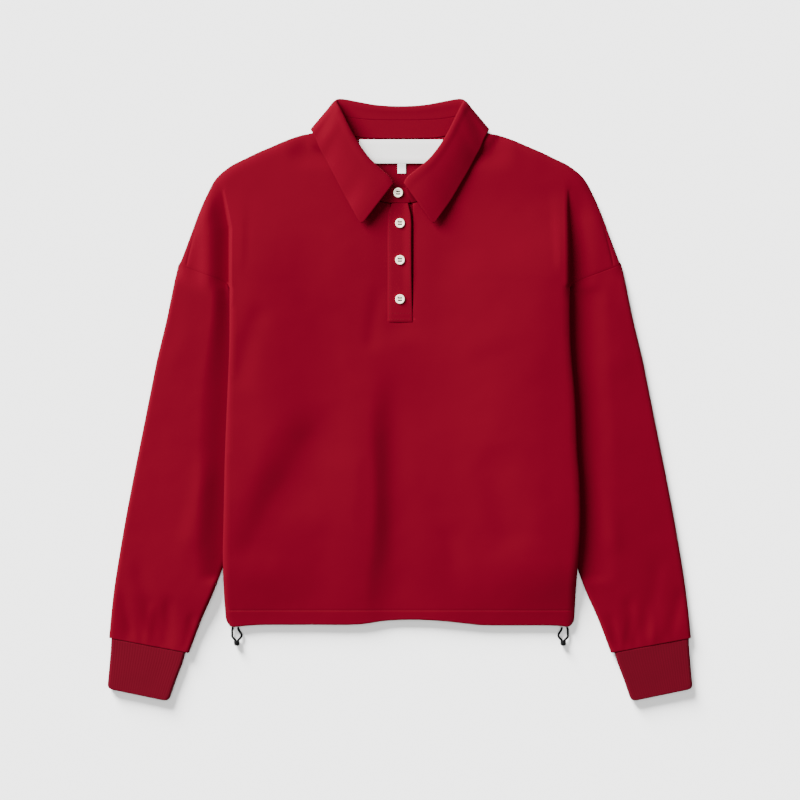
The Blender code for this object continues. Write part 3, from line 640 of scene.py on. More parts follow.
def panelWall(name, neck, faces, step, grid, replaced):
    loop = panelLoop(neck, step)
    closed = np.vstack([loop, loop[:1]])
    edge = np.roll(loop, -1, axis=0) - np.roll(loop, 1, axis=0)
    inward = np.column_stack([-edge[:, 1], edge[:, 0]]) / np.linalg.norm(edge, axis=1)[:, None]
    extra = []
    for ring in panelMesh["rings"]:
        pts = loop + inward * ring
        keep = insideLoop(pts, loop) & (distanceTo(pts, [closed]) > ring * 0.9)
        extra.append(pts[keep])
    gx, gy = np.meshgrid(np.arange(-279, 279.1, grid), np.arange(-284, 347, grid))
    rows = np.arange(*panelMesh["hemRows"]) + plan["hemLine"]
    hx, hy = np.meshgrid(np.arange(-212, 212.1, grid), rows)
    (x0, x1, y0, y1), (stepX, stepY) = panelMesh["band"], panelMesh["bandPitch"]
    cx, cy = np.meshgrid(np.arange(x0, x1, stepX), np.arange(y0, y1, stepY))
    crease = np.column_stack([cx.ravel(), cy.ravel()])
    pts = np.column_stack([gx.ravel(), gy.ravel()])
    pts = pts[~((np.abs(np.abs(pts[:, 0]) - 216) < 9) & (np.abs(pts[:, 1] - 190) < 74))]
    pts = pts[distanceTo(pts, grooveLines) > 3.4]
    beside = []
    for line in grooveLines:
        line = evenSteps(line, 2.5)
        dirn = np.gradient(line, axis=0)
        normal = np.column_stack([-dirn[:, 1], dirn[:, 0]]) / np.linalg.norm(dirn, axis=1)[:, None]
        beside += [line + normal * off for off in panelMesh["beside"]]
    pts = np.vstack([pts, crease, crease * (-1, 1), np.column_stack([hx.ravel(), hy.ravel()])] + beside)
    near = np.abs(pts[:, 1] - plan["hemLine"])
    keep = (near < 2.5) & np.isin(np.round(pts[:, 1], 3), np.round(rows, 3)) | (near > 3.2)
    pts = pts[keep]
    pts = pts[insideLoop(pts, loop)]
    pts = pts[distanceTo(pts, [closed]) > panelMesh["clear"]]
    allPts = np.vstack([loop] + extra + [pts])
    made = delaunay_2d_cdt([Vector(p) for p in allPts], [], [list(range(len(loop)))], 1, 1e-5)
    flat = np.array([(v.x, v.y) for v in made[0]])
    tris = np.array([tuple(t) for t in made[2] if len(t) == 3])
    a, b, c = flat[tris[:, 0]], flat[tris[:, 1]], flat[tris[:, 2]]
    turn = (b[:, 0] - a[:, 0]) * (c[:, 1] - a[:, 1]) - (b[:, 1] - a[:, 1]) * (c[:, 0] - a[:, 0])
    tris[turn < 0] = tris[turn < 0][:, ::-1]
    under, top = faces(flat[:, 0], flat[:, 1])
    d = distanceTo(flat, [closed])
    sewn = 1 - smooth(distanceTo(flat, armholes) / 4)
    soft = np.maximum(roundOff(d + 0.38 * sewn, 1.3), 0.12)
    middle = (under + top) / 2
    under, top = middle + (under - middle) * soft, middle + (top - middle) * soft
    n = len(flat)
    verts = np.vstack([np.column_stack([flat, under]), np.column_stack([flat, top])])
    faceList = [tuple(t[::-1]) for t in tris.tolist()] + [tuple(t) for t in (tris + n).tolist()]
    sides = set()
    for t in tris.tolist():
        sides.update(((t[0], t[1]), (t[1], t[2]), (t[2], t[0])))
    faceList += [(p, q, q + n, p + n) for p, q in sides if (q, p) not in sides]
    uv = np.vstack([flat, flat]) * mm
    return meshPiece(name, verts, faceList, uv, finishes["jersey"], "jersey", replaced)


front = panelWall("front", "frontNeck", frontFaces, 4.0, 4.0, ["front_panel"])
back = panelWall("back", "backNeck", backFaces, 5.0, 6.0, ["back_panel"])
print("body panels made")


# Sleeves and cuffs: flattened tubes with an outer and an inner skin

sleeve = {"edge": 4.6, "rows": 5.0,
          # height, height where the body lies on it, where the slope between starts, its length
          # at the armhole and how much longer it is lower down
          "left": (12.4, 4.8, -1.0, 23.0, 16.0), "right": (7.2, 4.2, 14.0, 36.0, 0.0), "blend": 26.0,
          # over this last length the height falls to the cuff's
          "taper": 60.0}
cuff = {"high": 8.0, "thick": 2.4, "edge": 3.6}

sleeveFolds = [
    # outward x and y of both ends, widths, height, unevenness
    (250, 150, 285, 30, 16, 20, 0.7, 0.4),
    (236, -60, 268, -190, 12, 18, 1.2, 0.4),
    (330, -190, 300, -300, 9, 12, -1.2, 0.4),
    (352, -228, 338, -300, 6, 8, -0.9, 0.4),
    (285, -240, 292, -312, 7, 9, -1.1, 0.4),
    (262, -262, 272, -312, 5, 7, -0.9, 0.4),
    (312, -250, 314, -306, 5, 6, 0.8, 0.4),
]


def sleeveTop(side):
    seam = curveThrough(plan["armhole"], 2)[::-1]
    inside = seam[:, 0] > 218
    seamHigh = frontTop(side * seam[:, 0], seam[:, 1] + 1.5)
    seamHigh[~inside] = seamHigh[inside][0]

    def high(x, y):
        x, y = np.asarray(x, float), np.asarray(y, float)
        clear = x - np.where(y > 140, creaseLine(side, y), sideEdge(y, side))
        inBody = smooth((y + 232) / 14) * (1 - smooth((y - 132) / 16))
        tall, pressed, start, slope, spread = sleeve["left" if side < 0 else "right"]
        more = spread * smooth((130 - y) / 130)
        free = 1 - inBody * (1 - smooth((clear - start + more / 4) / (slope + more)))
        tall = tall + (cuff["high"] + 0.9 - tall) * smooth((-300 + sleeve["taper"] - y) / sleeve["taper"])
        total = pressed + (tall - pressed) * free
        seed = 40 if side < 0 else 60
        total = total + foldsAt(sleeveFolds, x, y, seed) * free
        gather = smooth((-262 - y) / 40)
        across = x * 0.98 - y * 0.18
        total = total + gather * 0.38 * lattice(seed + 9, 6.5, across, y * 0.12) * free
        total = total + (0.35 * lattice(seed + 1, 42, x, y) + 0.12 * lattice(seed + 2, 15, x, y)) * free
        # towards the armhole it takes the panel's own height, so the cloth runs on over the seam
        seamY = np.interp(x, seam[:, 0], seam[:, 1])
        close = 1 - smooth((seamY - y) / sleeve["blend"])
        atSeam = np.interp(x, seam[:, 0], seamHigh)
        return total * (1 - close) + atSeam * close
    return high


def cuffTop(side):
    def high(x, y):
        return cuff["high"] + 0.2 * lattice(80 + side, 20, x, y) + 0 * np.asarray(x)
    return high


def armholeBow(share):
    # how far the sleeve's top row rises from a straight line to reach the armhole seam
    outerX, outerY, innerX, innerY = plan["sleeve"][0]
    x, y = outerX + (innerX - outerX) * share, outerY + (innerY - outerY) * share
    seam = curveThrough(plan["armhole"], 3)[::-1]
    return np.interp(x, seam[:, 0], seam[:, 1]) + 0.5 - y


def tubeSkin(rows, high, inset, shares, radius, bows):
    skins = []
    for row, bow in zip(rows, bows):
        outer, inner = row[:2], row[2:]
        wide = np.linalg.norm(inner - outer)
        dirn = (inner - outer) / wide
        run = inset + shares * (wide - 2 * inset)
        xy = outer + dirn * run[:, None]
        xy[:, 1] += bow * armholeBow(run / wide) if bow else 0.0
        swell = roundOff(np.minimum(run - inset, wide - inset - run), max(radius - inset, 0.8))
        # both faces meet at the side edges half way up
        first, last = (float(high(*spot)) * 0.5 for spot in (outer + dirn * radius, inner - dirn * radius))
        middle = first + (last - first) * shares
        upper = middle + (high(xy[:, 0], xy[:, 1]) - inset - middle) * swell
        lower = middle + (inset - middle) * swell
        skins.append(np.vstack([np.column_stack([xy, lower]), np.column_stack([xy, upper])[-2:0:-1]]))
    return np.array(skins)


def tube(name, table, high, side, material, slot, thick, radius, step, replaced, follow=0, corner=0.0):
    # follow is the length over which the top row's bow fades; corner rounds the far end's corners
    rows = evenSteps(curveThrough(table, step), step)
    # closer rows at both ends, where the cloth's edge is rounded
    ends = [rows[0] + (rows[1] - rows[0]) * t for t in (0, 0.12, 0.3, 0.6)]
    tail = [rows[-1] + (rows[-2] - rows[-1]) * t for t in (0.8, 0.6, 0.42, 0.26, 0.14, 0.05, 0)]
    rows = np.array(ends + list(rows[1:-1]) + tail)
    run = runAlong(rows[:, :2])
    bows = 1 - smooth(run / follow) if follow else run * 0
    if corner:
        near = np.clip(run[-1] - run, 0, corner)
        cut = corner - np.sqrt(corner ** 2 - (corner - near) ** 2)
        dirn = rows[:, 2:] - rows[:, :2]
        dirn = dirn / np.linalg.norm(dirn, axis=1)[:, None] * cut[:, None]
        rows = rows + np.hstack([dirn, -dirn])
    # closer points round both side edges
    near = np.array([0, 0.0012, 0.005, 0.011, 0.02, 0.032, 0.05, 0.075])
    shares = np.concatenate([near, np.linspace(0.1, 0.9, 34), 1 - near[::-1]])
    outerSkin = tubeSkin(rows, high, 0.0, shares, radius, bows)
    innerSkin = tubeSkin(rows, high, thick, shares, radius, bows)
    m, n = outerSkin.shape[:2]
    middle = (outerSkin + innerSkin) / 2
    fromEdge = np.minimum(run + (0.5 if follow else 0), run[-1] - run)
    soft = np.maximum(roundOff(fromEdge, 1.0), 0.25)[:, None, None]
    outerSkin, innerSkin = middle + (outerSkin - middle) * soft, middle + (innerSkin - middle) * soft
    verts = np.vstack([outerSkin.reshape(-1, 3), innerSkin.reshape(-1, 3)]) * (side, 1, 1)
    around = runAlong(outerSkin[m // 2])
    uv = np.array([(around[j], run[i]) for i in range(m) for j in range(n)]) * mm
    return meshPiece(name, verts, skinFaces(m, n, True), np.vstack([uv, uv]), material, slot, replaced)


sleeves, cuffs = {}, {}
for side, word in ((-1, "left"), (1, "right")):
    sleeves[word] = tube("sleeve_cloth_" + word, plan["sleeve"], sleeveTop(side), side, finishes["jersey"],
                         "jersey", cloth["thick"], sleeve["edge"], sleeve["rows"], ["sleeve_" + word],
                         follow=40)
    cuffs[word] = tube("cuff_rib_" + word, plan["cuff"], cuffTop(side), side, finishes["rib"], "rib",
                       cuff["thick"], cuff["edge"], 4.0, ["cuff_" + word], corner=5.0)
print("sleeves and cuffs made")


# Collar: one folded sheet for the fall and one for the stand, the same stations as the solids

collar = {
    "thick": 2.2, "bend": 1.5, "leafGap": 0.7, "leafCrown": 1.6, "tipRound": 5.0,
    "leafRise": [0] * 9 + [1.2, 2.0, 2.8, 3.6, 4.6, 5.6, 6.2, 6.0],
    "rollRise": [0] * 5 + [0.5, 1.2, 2.2, 3.2, 4.2, 5.0, 5.2, 5.4, 5.6, 5.6, 5.4, 5.0],
    # roll x, y, height; edge x, y, height; turn in degrees; share of the stand side above the seam
    "rows": [
        (0, 365.4, 3.0, 0, 318, 1.2, 0, 0.4), (30, 367, 3.0, 34, 318.5, 1.2, 0, 0.42),
        (56, 371.6, 3.0, 66, 321, 1.2, 0, 0.46), (70, 374.2, 3.2, 88, 325.5, 1.2, 0, 0.48),
        (77.5, 374.6, 3.8, 103, 331.5, 1.2, 15, 0.5), (80.6, 373.4, 4.9, 109.4, 338.2, 1.7, 50, 0.55),
        (81.2, 371.6, 6.5, 111.3, 338.2, 4.8, 95, 0.6), (80.2, 369.4, 8.6, 109.6, 334.6, 9.0, 140, 0.6),
        (77.6, 365, 10.6, 105.4, 326.8, 10.1, 170, 0.58), (73, 356, 11.6, 100.5, 315, 0, 180, 0.5),
        (67, 343.5, 12.2, 93.5, 302, 0, 180, 0.45), (57.5, 325.5, 12.3, 84, 284, 0, 180, 0.42),
        (48, 310.5, 12.3, 75, 267, 0, 180, 0.4), (37.5, 297.4, 12.2, 66, 250, 0, 180, 0.38),
        (24.5, 285.6, 12.0, 58, 235.5, 0, 180, 0.34), (13.5, 275.6, 11.8, 52.5, 226, 0, 180, 0.26),
        (9.2, 268.4, 11.6, 47.6, 218.4, 0, 180, 0.16)],
    "rightLeafShift": [0] * 12 + [-1, -2, -4, -5.5, -5.5],
    "neck": [(0, 327.4), (27, 327.7), (50, 329.2), (63, 332.8), (73, 338.4), (79.2, 345.4), (82.2, 348.4),
             (82.2, 343), (82, 334), (81.2, 324), (79.4, 309.6), (74.8, 293.6), (66.4, 278.8), (54.7, 266),
             (41.2, 256.4), (27.4, 250.4), (16, 247.4)],
}


def topAt(x, y):
    return float(frontTop(x, y)[0])


def collarStation(k, side):
    row = collar["rows"][k]
    shift = collar["rightLeafShift"][k] if side > 0 else 0
    roll = np.array([side * (row[0] + shift * 0.6), row[1], row[2] + collar["rollRise"][k]])
    edge = np.array([side * (row[3] + shift), row[4], row[5]])
    if row[6] == 180:
        edge[2] = topAt(edge[0], edge[1]) + 0.3 + collar["thick"] / 2 + collar["leafGap"]
        edge[2] += collar["leafRise"][k]
    x, y = collar["neck"][k]
    neck = np.array([side * x, y, 0.0])
    if k <= 5:
        neck[2] = cloth["fallLift"] + collar["thick"] / 2 + 0.1
    elif k == 6:
        neck[2] = cloth["fallLift"] + cloth["thick"] + 0.5
    else:
        neck[2] = topAt(neck[0] * 1.02, y - 0.5) - cloth["thick"] / 2 + (0.6 if k > 12 and side < 0 else 0.3)
    return roll, edge, neck, math.radians(row[6]), row[7]


def seamPoint(roll, neck, turn, share):
    inner = roll + (0, 0, 1.3 * math.cos(turn))
    return inner + (neck - inner) * share


def fallSections(side):
    sections = []
    for k in range(len(collar["rows"])):
        roll, edge, neck, turn, share = collarStation(k, side)
        seam = seamPoint(roll, neck, turn, share)
        out = roll[:2] - edge[:2]
        out = np.array([*(out / np.linalg.norm(out)), 0.0])
        apart = np.array([0, 0, 1.0]) * math.cos(turn) + np.array([-side, 0.0, 0.0]) * math.sin(turn)
        r = collar["bend"]
        bend = [roll + apart * r * math.cos(a) + out * r * math.sin(a)
                for a in (0.0, math.pi * 0.25, math.pi * 0.5, math.pi * 0.75, math.pi)]
        arm = []
        for t in (0.2, 0.45, 0.72, 1.0):
            p = bend[-1] + (edge - bend[-1]) * t
            if turn > 3 and t < 1:
                p[2] += collar["leafCrown"] * math.sin(math.pi * t)
            arm.append(p)
        sections.append([seam, (seam + bend[0]) / 2] + bend + arm)
    return sections


standShares = (0.0, 0.33, 0.67, 1.0)  # where the stand's points lie between neck and seam


def standSections(side):
    sections = []
    for k in range(len(collar["rows"])):
        roll, _, neck, turn, share = collarStation(k, side)
        seam = seamPoint(roll, neck, turn, share)
        sections.append([neck + (seam - neck) * t for t in standShares])
    rise = (0.1, 2.3) if side < 0 else (-2.5, -0.3)
    base = topAt(0, 246)
    for x, low, high in ((8.5, 246.9, 264.4), (0, 246.6, 265.2), (-7, 246.6, 265.0), (-13, 246.9, 263.2)):
        a = np.array([side * x, low, base + rise[0]])
        b = np.array([side * x, high, base + rise[1]])
        sections.append([a + (b - a) * t for t in standShares])
    return sections


def thickSurface(name, mid, thick, material, slot, replaced, sewn=()):
    # a cloth of even thickness round middle points, its free edges rounded
    along, across = np.gradient(mid, axis=0), np.gradient(mid, axis=1)
    normal = np.cross(along, across)
    normal /= np.linalg.norm(normal, axis=2)[:, :, None] + 1e-12
    acrossFar, alongFar = runAlong(mid, 1), runAlong(mid, 0)
    # a sewn side keeps its thickness but for a shallow groove
    sides = {"start": acrossFar, "end": acrossFar[:, -1:] - acrossFar}
    d = np.minimum(alongFar, alongFar[-1:] - alongFar)
    for word, far in sides.items():
        d = np.minimum(d, far + (thick * 0.35 if word in sewn else 0))
    half = (thick / 2 * np.maximum(roundOff(d, thick / 2), 0.12))[:, :, None]
    one, two = mid + normal * half, mid - normal * half
    m, n = mid.shape[:2]
    verts = np.vstack([one.reshape(-1, 3), two.reshape(-1, 3)])
    uv = np.column_stack([alongFar.ravel(), acrossFar.ravel()]) * mm
    return meshPiece(name, verts, skinFaces(m, n), np.vstack([uv, uv]), material, slot, replaced)


# closer steps where a free edge is rounded
edgeSteps, lastSteps = [0, 0.03, 0.09, 0.2, 0.4, 0.7], [0, 0.3, 0.6, 0.8, 0.91, 0.97]


def finerGrid(sections, alongSteps, acrossSteps):
    grid = np.array(sections, float)
    grid = through(grid, acrossSteps, 1)
    count = grid.shape[0] - 1
    return through(grid, [edgeSteps] + [alongSteps] * (count - 2) + [lastSteps], 0)


def roundTips(fall):
    # both leaf points get a round corner: the short edge bends back near the outer edge
    r, reach = collar["tipRound"], 22.0
    for grid in (fall, fall[::-1]):
        far = np.linalg.norm(grid[0] - grid[0, -1], axis=1)
        near = np.clip(far, 0, r)
        cut = r - np.sqrt(np.maximum(r ** 2 - (r - near) ** 2, 0))
        run = runAlong(grid, 0)
        wanted = np.where(run < reach, cut + run * (1 - cut / reach), run)
        for j in range(grid.shape[1]):
            if cut[j] > 0:
                grid[:, j] = np.column_stack([np.interp(wanted[:, j], run[:, j], grid[:, j, k])
                                              for k in range(3)])
    return fall


def makeCollar():
    left, right = fallSections(-1), fallSections(1)
    across = [[0, 0.1, 0.3, 0.6], 3, 2, 2, 2, 2, 5, 8, 8, [0, 0.2, 0.4, 0.6, 0.75, 0.86, 0.93, 0.975]]
    fall = finerGrid(left[::-1] + right[1:], 6, across)
    ripple = 0.22 * lattice(91, 24, fall[:, :, 0], fall[:, :, 1])
    fall[:, :, 2] += ripple * smooth((fall[:, :, 2] - 8) / 4)
    fall = roundTips(fall)
    fallPiece = thickSurface("fall", fall, collar["thick"], finishes["jersey"], "jersey", ["collar_fall"],
                             sewn=["start"])
    left, right = standSections(-1), standSections(1)
    across = [[0, 0.06, 0.2, 0.5], 5, [0, 0.4, 0.7, 0.88, 0.96]]
    stand = finerGrid(left[::-1] + right[1:], 6, across)
    standPiece = thickSurface("stand", stand, collar["thick"], finishes["jersey"], "jersey",
                              ["collar_stand"], sewn=["start", "end"])
    return fallPiece, standPiece


fall, stand = makeCollar()
print("collar made")


# Placket strips, label and tag: flat pieces laid on the cloth

placket = {"top": 246.2, "end": 97.0, "thick": 1.3, "rise": 1.35,
           # y, left edge, right edge of the upper strip
           "edges": [(97.8, -15.6, 15.6), (125, -15.6, 14.9), (160, -15.6, 14.2), (200, -15.6, 14.0),
                     (221, -15.4, 14.2), (233, -15.0, 13.2), (240, -12.6, 11.4), (246.2, -10.2, 10.0)]}
label = {"box": (-51.0, 53.5, 296.0, 326.0), "thick": 0.9}
tag = {"box": (-3.1, 7.4, 283.6, 295.8), "thick": 0.7}


def strip(name, sides, y0, y1, top, thick, material, slot, replaced, step=2.5):
    # sides gives the left and right x at a height y
    edge = np.array([0, 0.15, 0.45, 0.9, 1.5])
    ys = np.concatenate([y0 + edge, np.arange(y0 + 2.6, y1 - 2.4, step), y1 - edge[::-1]])
    left, right = sides(ys)
    wide = float(np.mean(right - left))
    shares = np.concatenate([edge, np.arange(2.6, wide - 2.4, step), wide - edge[::-1]]) / wide
    gx = left[None, :] + (right - left)[None, :] * shares[:, None]
    gy = ys[None, :] + 0 * gx
    mid = np.stack([gx, gy, top(gx, gy) - thick / 2], axis=2)
    return thickSurface(name, mid, thick, material, slot, replaced)


def straight(x0, x1):
    return lambda y: (x0 + 0 * y, x1 + 0 * y)


def placketSides(y):
    rows = np.array(placket["edges"])
    return np.interp(y, rows[:, 0], rows[:, 1]), np.interp(y, rows[:, 0], rows[:, 2])


def placketTop(x, y):
    # sewn down at the left and along the bottom box, standing free at the right
    base = frontTop(x * 0, y)
    sewn = 0.75 * (1 - smooth((x + 15.6) / 3.5)) + 0.6 * (1 - smooth((y - 97) / 2.5))
    free = 1.9 * smooth((x - 3) / 11) * smooth((y - 104) / 60)
    stitched = 0.3 * np.exp(-((y - 102.0) / 0.9) ** 2)
    return base + placket["rise"] - sewn + free - stitched + 0.10 * lattice(95, 14, x, y)


def placketLow(x, y):
    return frontTop(x * 0, y) - 2.2


def labelTop(x, y):
    on = np.maximum(np.maximum(backTop(x, y - 5), backTop(x, y + 5)), backTop(x, y))
    bulge = 0.5 * smooth((306 - y) / 10) * (1 + 0.5 * np.sin(x / 13.0))
    return on + 0.3 + label["thick"] + bulge - 0.5 * smooth((y - 321) / 4)


def tagTop(x, y):
    return backTop(x, y + 5) + 0.4 + tag["thick"] + 0.7 * smooth((y - 288) / 8)


over = strip("placket_top", placketSides, placket["end"], placket["top"], placketTop, placket["thick"],
             finishes["jersey"], "jersey", ["placket_over"])
under = strip("placket_low", straight(-14.5, 20.5), placket["end"] + 1, placket["top"] - 1, placketLow, 1.4,
              finishes["jersey"], "jersey", ["placket_under"])
x0, x1, y0, y1 = label["box"]
neckLabel = strip("label_cloth", straight(x0, x1), y0, y1, labelTop, label["thick"], finishes["label"],
                  "label", ["neck_label"], 2.0)
x0, x1, y0, y1 = tag["box"]
sizeTag = strip("tag_cloth", straight(x0, x1), y0, y1, tagTop, tag["thick"], finishes["label"], "label",
                ["size_tag"], 1.2)
print("placket and labels made")


# Buttons with a rim, a dished face, four holes and the thread that shows in them

button = {"wide": 12.0, "high": 2.4, "hole": 1.0, "holeX": 1.7, "holeY": 1.5, "thread": 0.9, "tilt": 6.8}


def turnedMesh(name, profile, steps):
    mesh = bpy.data.meshes.new(name)
    form = bmesh.new()
    verts = [form.verts.new((r * mm, 0, z * mm)) for r, z in profile]
    edges = [form.edges.new((a, b)) for a, b in zip(verts[:-1], verts[1:])]
    bmesh.ops.spin(form, geom=verts + edges, cent=(0, 0, 0), axis=(0, 0, 1), angle=math.tau, steps=steps,
                   use_duplicate=False)
    bmesh.ops.remove_doubles(form, verts=form.verts[:], dist=0.000005)
    bmesh.ops.recalc_face_normals(form, faces=form.faces[:])
    form.to_mesh(mesh)
    form.free()
    return mesh


def buttonMesh():
    r, h = button["wide"] / 2, button["high"]
    profile = [(0, -h / 2), (r * 0.8, -h / 2), (r * 0.93, -h * 0.4), (r, -h * 0.08), (r * 0.985, h * 0.2),
               (r * 0.95, h * 0.36), (r * 0.89, h * 0.45), (r * 0.82, h * 0.48), (r * 0.75, h * 0.44),
               (r * 0.7, h * 0.33), (r * 0.66, h * 0.24), (r * 0.58, h * 0.19), (0, h * 0.15)]
    body = added("buttonBody", turnedMesh("buttonBody", profile, 48))
    form = bmesh.new()
    for sx in (-1, 1):
        for sy in (-1, 1):
            made = bmesh.ops.create_cone(form, cap_ends=True, segments=16, radius1=button["hole"] * mm,
                                         radius2=button["hole"] * 1.12 * mm, depth=h * 2 * mm)
            bmesh.ops.translate(form, verts=made["verts"],
                                vec=(sx * button["holeX"] * mm, sy * button["holeY"] * mm, 0))
    cutMesh = bpy.data.meshes.new("buttonCut")
    form.to_mesh(cutMesh)
    form.free()
    cutter = added("buttonCut", cutMesh)
    cut = body.modifiers.new("holes", 'BOOLEAN')
    cut.operation = 'DIFFERENCE'
    cut.solver = 'EXACT'
    cut.object = cutter
    graph = bpy.context.evaluated_depsgraph_get()
    done = bpy.data.meshes.new_from_object(body.evaluated_get(graph))
    for obj in (body, cutter):
        bpy.data.objects.remove(obj, do_unlink=True)
    return done


def threadMesh():
    # two bars of thread, left hole to right hole, sunk a little in the dish
    form = bmesh.new()
    for sy in (-1, 1):
        for k in (-1, 1):
            made = bmesh.ops.create_uvsphere(form, u_segments=8, v_segments=8, radius=1.0)
            half = button["thread"] / 2 * mm
            bmesh.ops.scale(form, verts=made["verts"], vec=(button["holeX"] * 1.6 * mm, half, half))
            bmesh.ops.translate(form, verts=made["verts"],
                                vec=(0, (sy * button["holeY"] + k * 0.42) * mm, button["high"] * 0.16 * mm))
    mesh = bpy.data.meshes.new("buttonThread")
    form.to_mesh(mesh)
    form.free()
    return mesh


def placed(name, mesh, middle, tilt, material, slot, *replaced):
    # the finished mesh holds its place; the object stays at the origin
    own = mesh.copy()
    own.name = name
    own.transform(Matrix.Translation(middle) @ Matrix.Rotation(tilt, 4, 'X'))
    own.materials.clear()
    own.materials.append(material)
    return settled(added(name, own), slot, *replaced)


def makeButtons():
    body, thread = buttonMesh(), threadMesh()
    body.shade_smooth()
    body.set_sharp_from_angle(angle=math.radians(50))
    thread.shade_smooth()
    made = []
    for k in range(1, 5):
        low, high = (Vector(v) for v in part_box(f"button_{k}"))
        spot = ((low + high) / 2, math.radians(button["tilt"]) if k == 1 else 0.0)
        made.append(placed(f"button_disc_{k}", body, *spot, finishes["button"], "button", f"button_{k}"))
        placed(f"button_thread_{k}", thread, *spot, finishes["buttonThread"], "jersey")
    return made


discs = makeButtons()
print("buttons made")


# Rows of stitches, from one node tree: a path becomes a row of short threads

def stitchTree():
    tree = bpy.data.node_groups.new("stitchRow", "GeometryNodeTree")
    for label, kind, value in (("Geometry", "Geometry", None), ("Spacing", "Float", 0.0034),
                               ("Thread Length", "Float", 0.0026), ("Thread Width", "Float", 0.0005),
                               ("Seed", "Int", 4), ("Material", "Material", None)):
        socket = tree.interface.new_socket(name=label, in_out='INPUT', socket_type="NodeSocket" + kind)
        if value is not None:
            socket.default_value = value
    tree.interface.new_socket(name="Geometry", in_out='OUTPUT', socket_type='NodeSocketGeometry')
    add = tree.nodes.new
    nodes = {"start": add("NodeGroupInput"), "end": add("NodeGroupOutput"),
             "curve": add("GeometryNodeMeshToCurve"), "points": add("GeometryNodeCurveToPoints"),
             "turn": add("FunctionNodeAlignRotationToVector"), "sway": add("FunctionNodeRandomValue"),
             "ball": add("GeometryNodeMeshUVSphere"), "size": add("ShaderNodeCombineXYZ"),
             "shape": add("GeometryNodeTransform"), "place": add("GeometryNodeInstanceOnPoints"),
             "real": add("GeometryNodeRealizeInstances"), "finish": add("GeometryNodeSetMaterial")}
    nodes["points"].mode = 'LENGTH'
    nodes["turn"].axis = 'X'
    nodes["sway"].data_type = 'FLOAT_VECTOR'
    setInputs(nodes["sway"], {"Min": (0.86, 0.86, 0.86), "Max": (1.08, 1.12, 1.12)})
    setInputs(nodes["ball"], {"Segments": 6, "Rings": 4, "Radius": 0.5})
    for origin, output, target, socket in (
            ("start", "Geometry", "curve", "Mesh"), ("curve", "Curve", "points", "Curve"),
            ("start", "Spacing", "points", "Length"), ("points", "Tangent", "turn", "Vector"),
            ("start", "Seed", "sway", "Seed"), ("start", "Thread Length", "size", "X"),
            ("start", "Thread Width", "size", "Y"), ("start", "Thread Width", "size", "Z"),
            ("ball", "Mesh", "shape", "Geometry"), ("size", "Vector", "shape", "Scale"),
            ("points", "Points", "place", "Points"), ("shape", "Geometry", "place", "Instance"),
            ("turn", "Rotation", "place", "Rotation"), ("sway", "Value", "place", "Scale"),
            ("place", "Instances", "real", "Geometry"), ("real", "Geometry", "finish", "Geometry"),
            ("start", "Material", "finish", "Material"), ("finish", "Geometry", "end", "Geometry")):
        tree.links.new(nodes[origin].outputs[output], nodes[target].inputs[socket])
    return tree


stitches = {"tree": stitchTree(), "sink": 0.05}


def stitchRow(name, path, material, slot, spacing=3.4, length=2.6, wide=0.5, seed=4):
    # path in millimetres, on the cloth's surface
    mesh = bpy.data.meshes.new(name)
    mesh.from_pydata((np.asarray(path, float) * mm).tolist(), [(k, k + 1) for k in range(len(path) - 1)], [])
    obj = added(name, mesh)
    row = obj.modifiers.new("stitches", 'NODES')
    row.node_group = stitches["tree"]
    values = {"Spacing": spacing * mm, "Thread Length": length * mm, "Thread Width": wide * mm, "Seed": seed,
              "Material": material}
    for item in stitches["tree"].interface.items_tree:
        if item.in_out == 'INPUT' and item.name in values:
            row[item.identifier] = values[item.name]
    graph = bpy.context.evaluated_depsgraph_get()
    made = bpy.data.meshes.new_from_object(obj.evaluated_get(graph))
    obj.modifiers.clear()
    obj.data = made
    bpy.data.meshes.remove(mesh)
    made.shade_smooth()
    if not made.materials:
        made.materials.append(material)
    settled(obj, slot)


def onSurface(points, height, above=0.0):
    pts = np.asarray(points, float)
    z = height(pts[:, 0], pts[:, 1])
    return np.column_stack([pts, z + above - stitches["sink"]])


def makeStitches():
    y = plan["hemLine"]
    hem = onSurface([(x, y) for x in np.arange(-213, 213.1, 2)], frontTop)
    stitchRow("stitches_hem", hem, finishes["thread"], "jersey")
    rows = np.arange(104.0, 238.1, 2)
    left, right = placketSides(rows)
    box = [np.column_stack([left + 2.2, rows]), np.column_stack([right - 2.2, rows])]
    box += [[(x, level) for x in np.arange(-13, 12.9, 1.2)] for level in (100.2, 108.5)]
    for k, word in enumerate(("left", "right", "box_1", "box_2")):
        path = onSurface(box[k], placketTop)
        stitchRow("stitches_placket_" + word, path, finishes["thread"], "jersey", seed=5 + k)
    x0, x1, y0, y1 = label["box"]
    for k, x in enumerate((x0 + 1.6, x1 - 1.6)):
        path = onSurface([(x, v) for v in np.arange(y0 + 1.5, y1 - 1, 1.2)], labelTop)
        stitchRow(f"stitches_label_{k + 1}", path, finishes["label"], "label", 2.4, 1.8, 0.4, seed=9 + k)


makeStitches()
print("stitches made")


# Floor and light: one broad soft light from the upper left, in shares for cloth, floor and white pieces

room = {"floor": (0.88, 0.88, 0.875), "half": 4, "level": -0.0006, "fill": 0.21,
        # strength, direction it comes from, height in degrees, spread in degrees
        "cloth": (5.8, (-0.78, 0.62), 33.0, 42.0), "ground": (29.0, (-0.5, 0.86), 20.0, 26.0),
        "above": (2.8, (0, 1), 90.0, 60.0), "white": (8.4, (-0.6, 0.8), 50.0, 40.0),
        # the cloth's light stands this near, in metres, so the right side gets less of it
        "near": 5.8}


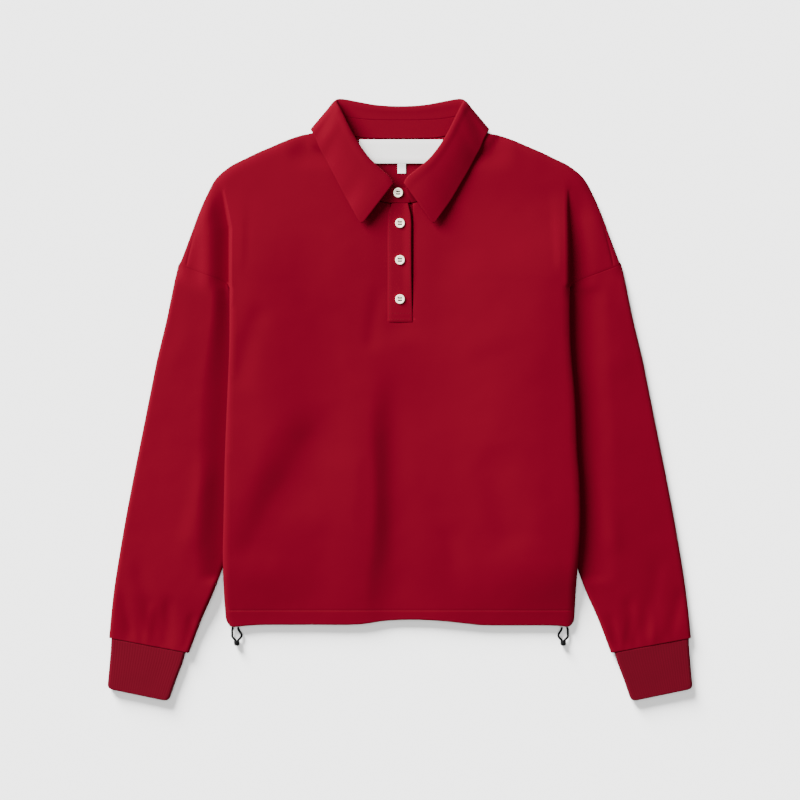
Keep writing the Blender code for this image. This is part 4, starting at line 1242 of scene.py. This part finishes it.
def softLight(name, lit, link, away=None):
    strength, source, rise, spread = room[name]
    data = bpy.data.lights.new(name + "Light", 'AREA' if away else 'SUN')
    if away:
        data.shape = 'DISK'
        data.size = 2 * away * math.tan(math.radians(spread / 2))
        data.energy = strength * math.pi * away ** 2
    else:
        data.energy = strength
        data.angle = math.radians(spread)
    lamp = added(name + "Light", data)
    lamp.visible_camera = False
    level, far = math.radians(rise), math.hypot(*source)
    aim = Vector((source[0] / far * math.cos(level), source[1] / far * math.cos(level), math.sin(level)))
    lamp.rotation_euler = aim.to_track_quat('Z', 'Y').to_euler()
    lamp.location = aim * (away or 3.0)
    chosen = bpy.data.collections.new(name + "Lit")
    for obj in lit:
        chosen.objects.link(obj)
    lamp.light_linking.receiver_collection = chosen
    for item in chosen.collection_objects:
        item.light_linking.link_state = link


def makeRoom():
    mesh = bpy.data.meshes.new("floor")
    half, level = room["half"], room["level"]
    corners = [(x * half, y * half, level) for x, y in ((-1, -1), (1, -1), (1, 1), (-1, 1))]
    mesh.from_pydata(corners, [], [(0, 1, 2, 3)])
    mat, tree, shader = newMaterial("paleFloor")
    setInputs(shader, {"Roughness": 0.9, "Specular IOR Level": 0.1})
    path = tree.nodes.new("ShaderNodeLightPath")
    seen = tree.nodes.new("ShaderNodeMix")
    seen.data_type = 'RGBA'
    # other rays meet a dark floor, so it throws little light back on the cloth
    setInputs(seen, {"A": (0.12, 0.12, 0.12, 1), "B": (*room["floor"], 1)})
    tree.links.new(path.outputs["Is Camera Ray"], seen.inputs["Factor"])
    tree.links.new(seen.outputs["Result"], shader.inputs["Base Color"])
    mesh.materials.append(mat)
    floor = added("floor", mesh)
    softLight("cloth", [floor], 'EXCLUDE', room["near"])
    softLight("ground", [floor], 'INCLUDE')
    softLight("above", [floor], 'INCLUDE')
    softLight("white", [neckLabel, sizeTag] + discs, 'INCLUDE')
    world = bpy.data.worlds.new("studio")
    world.use_nodes = True
    setInputs(world.node_tree.nodes["Background"], {"Color": (1, 1, 1, 1), "Strength": room["fill"]})
    bpy.context.scene.world = world


makeRoom()
print("room made")
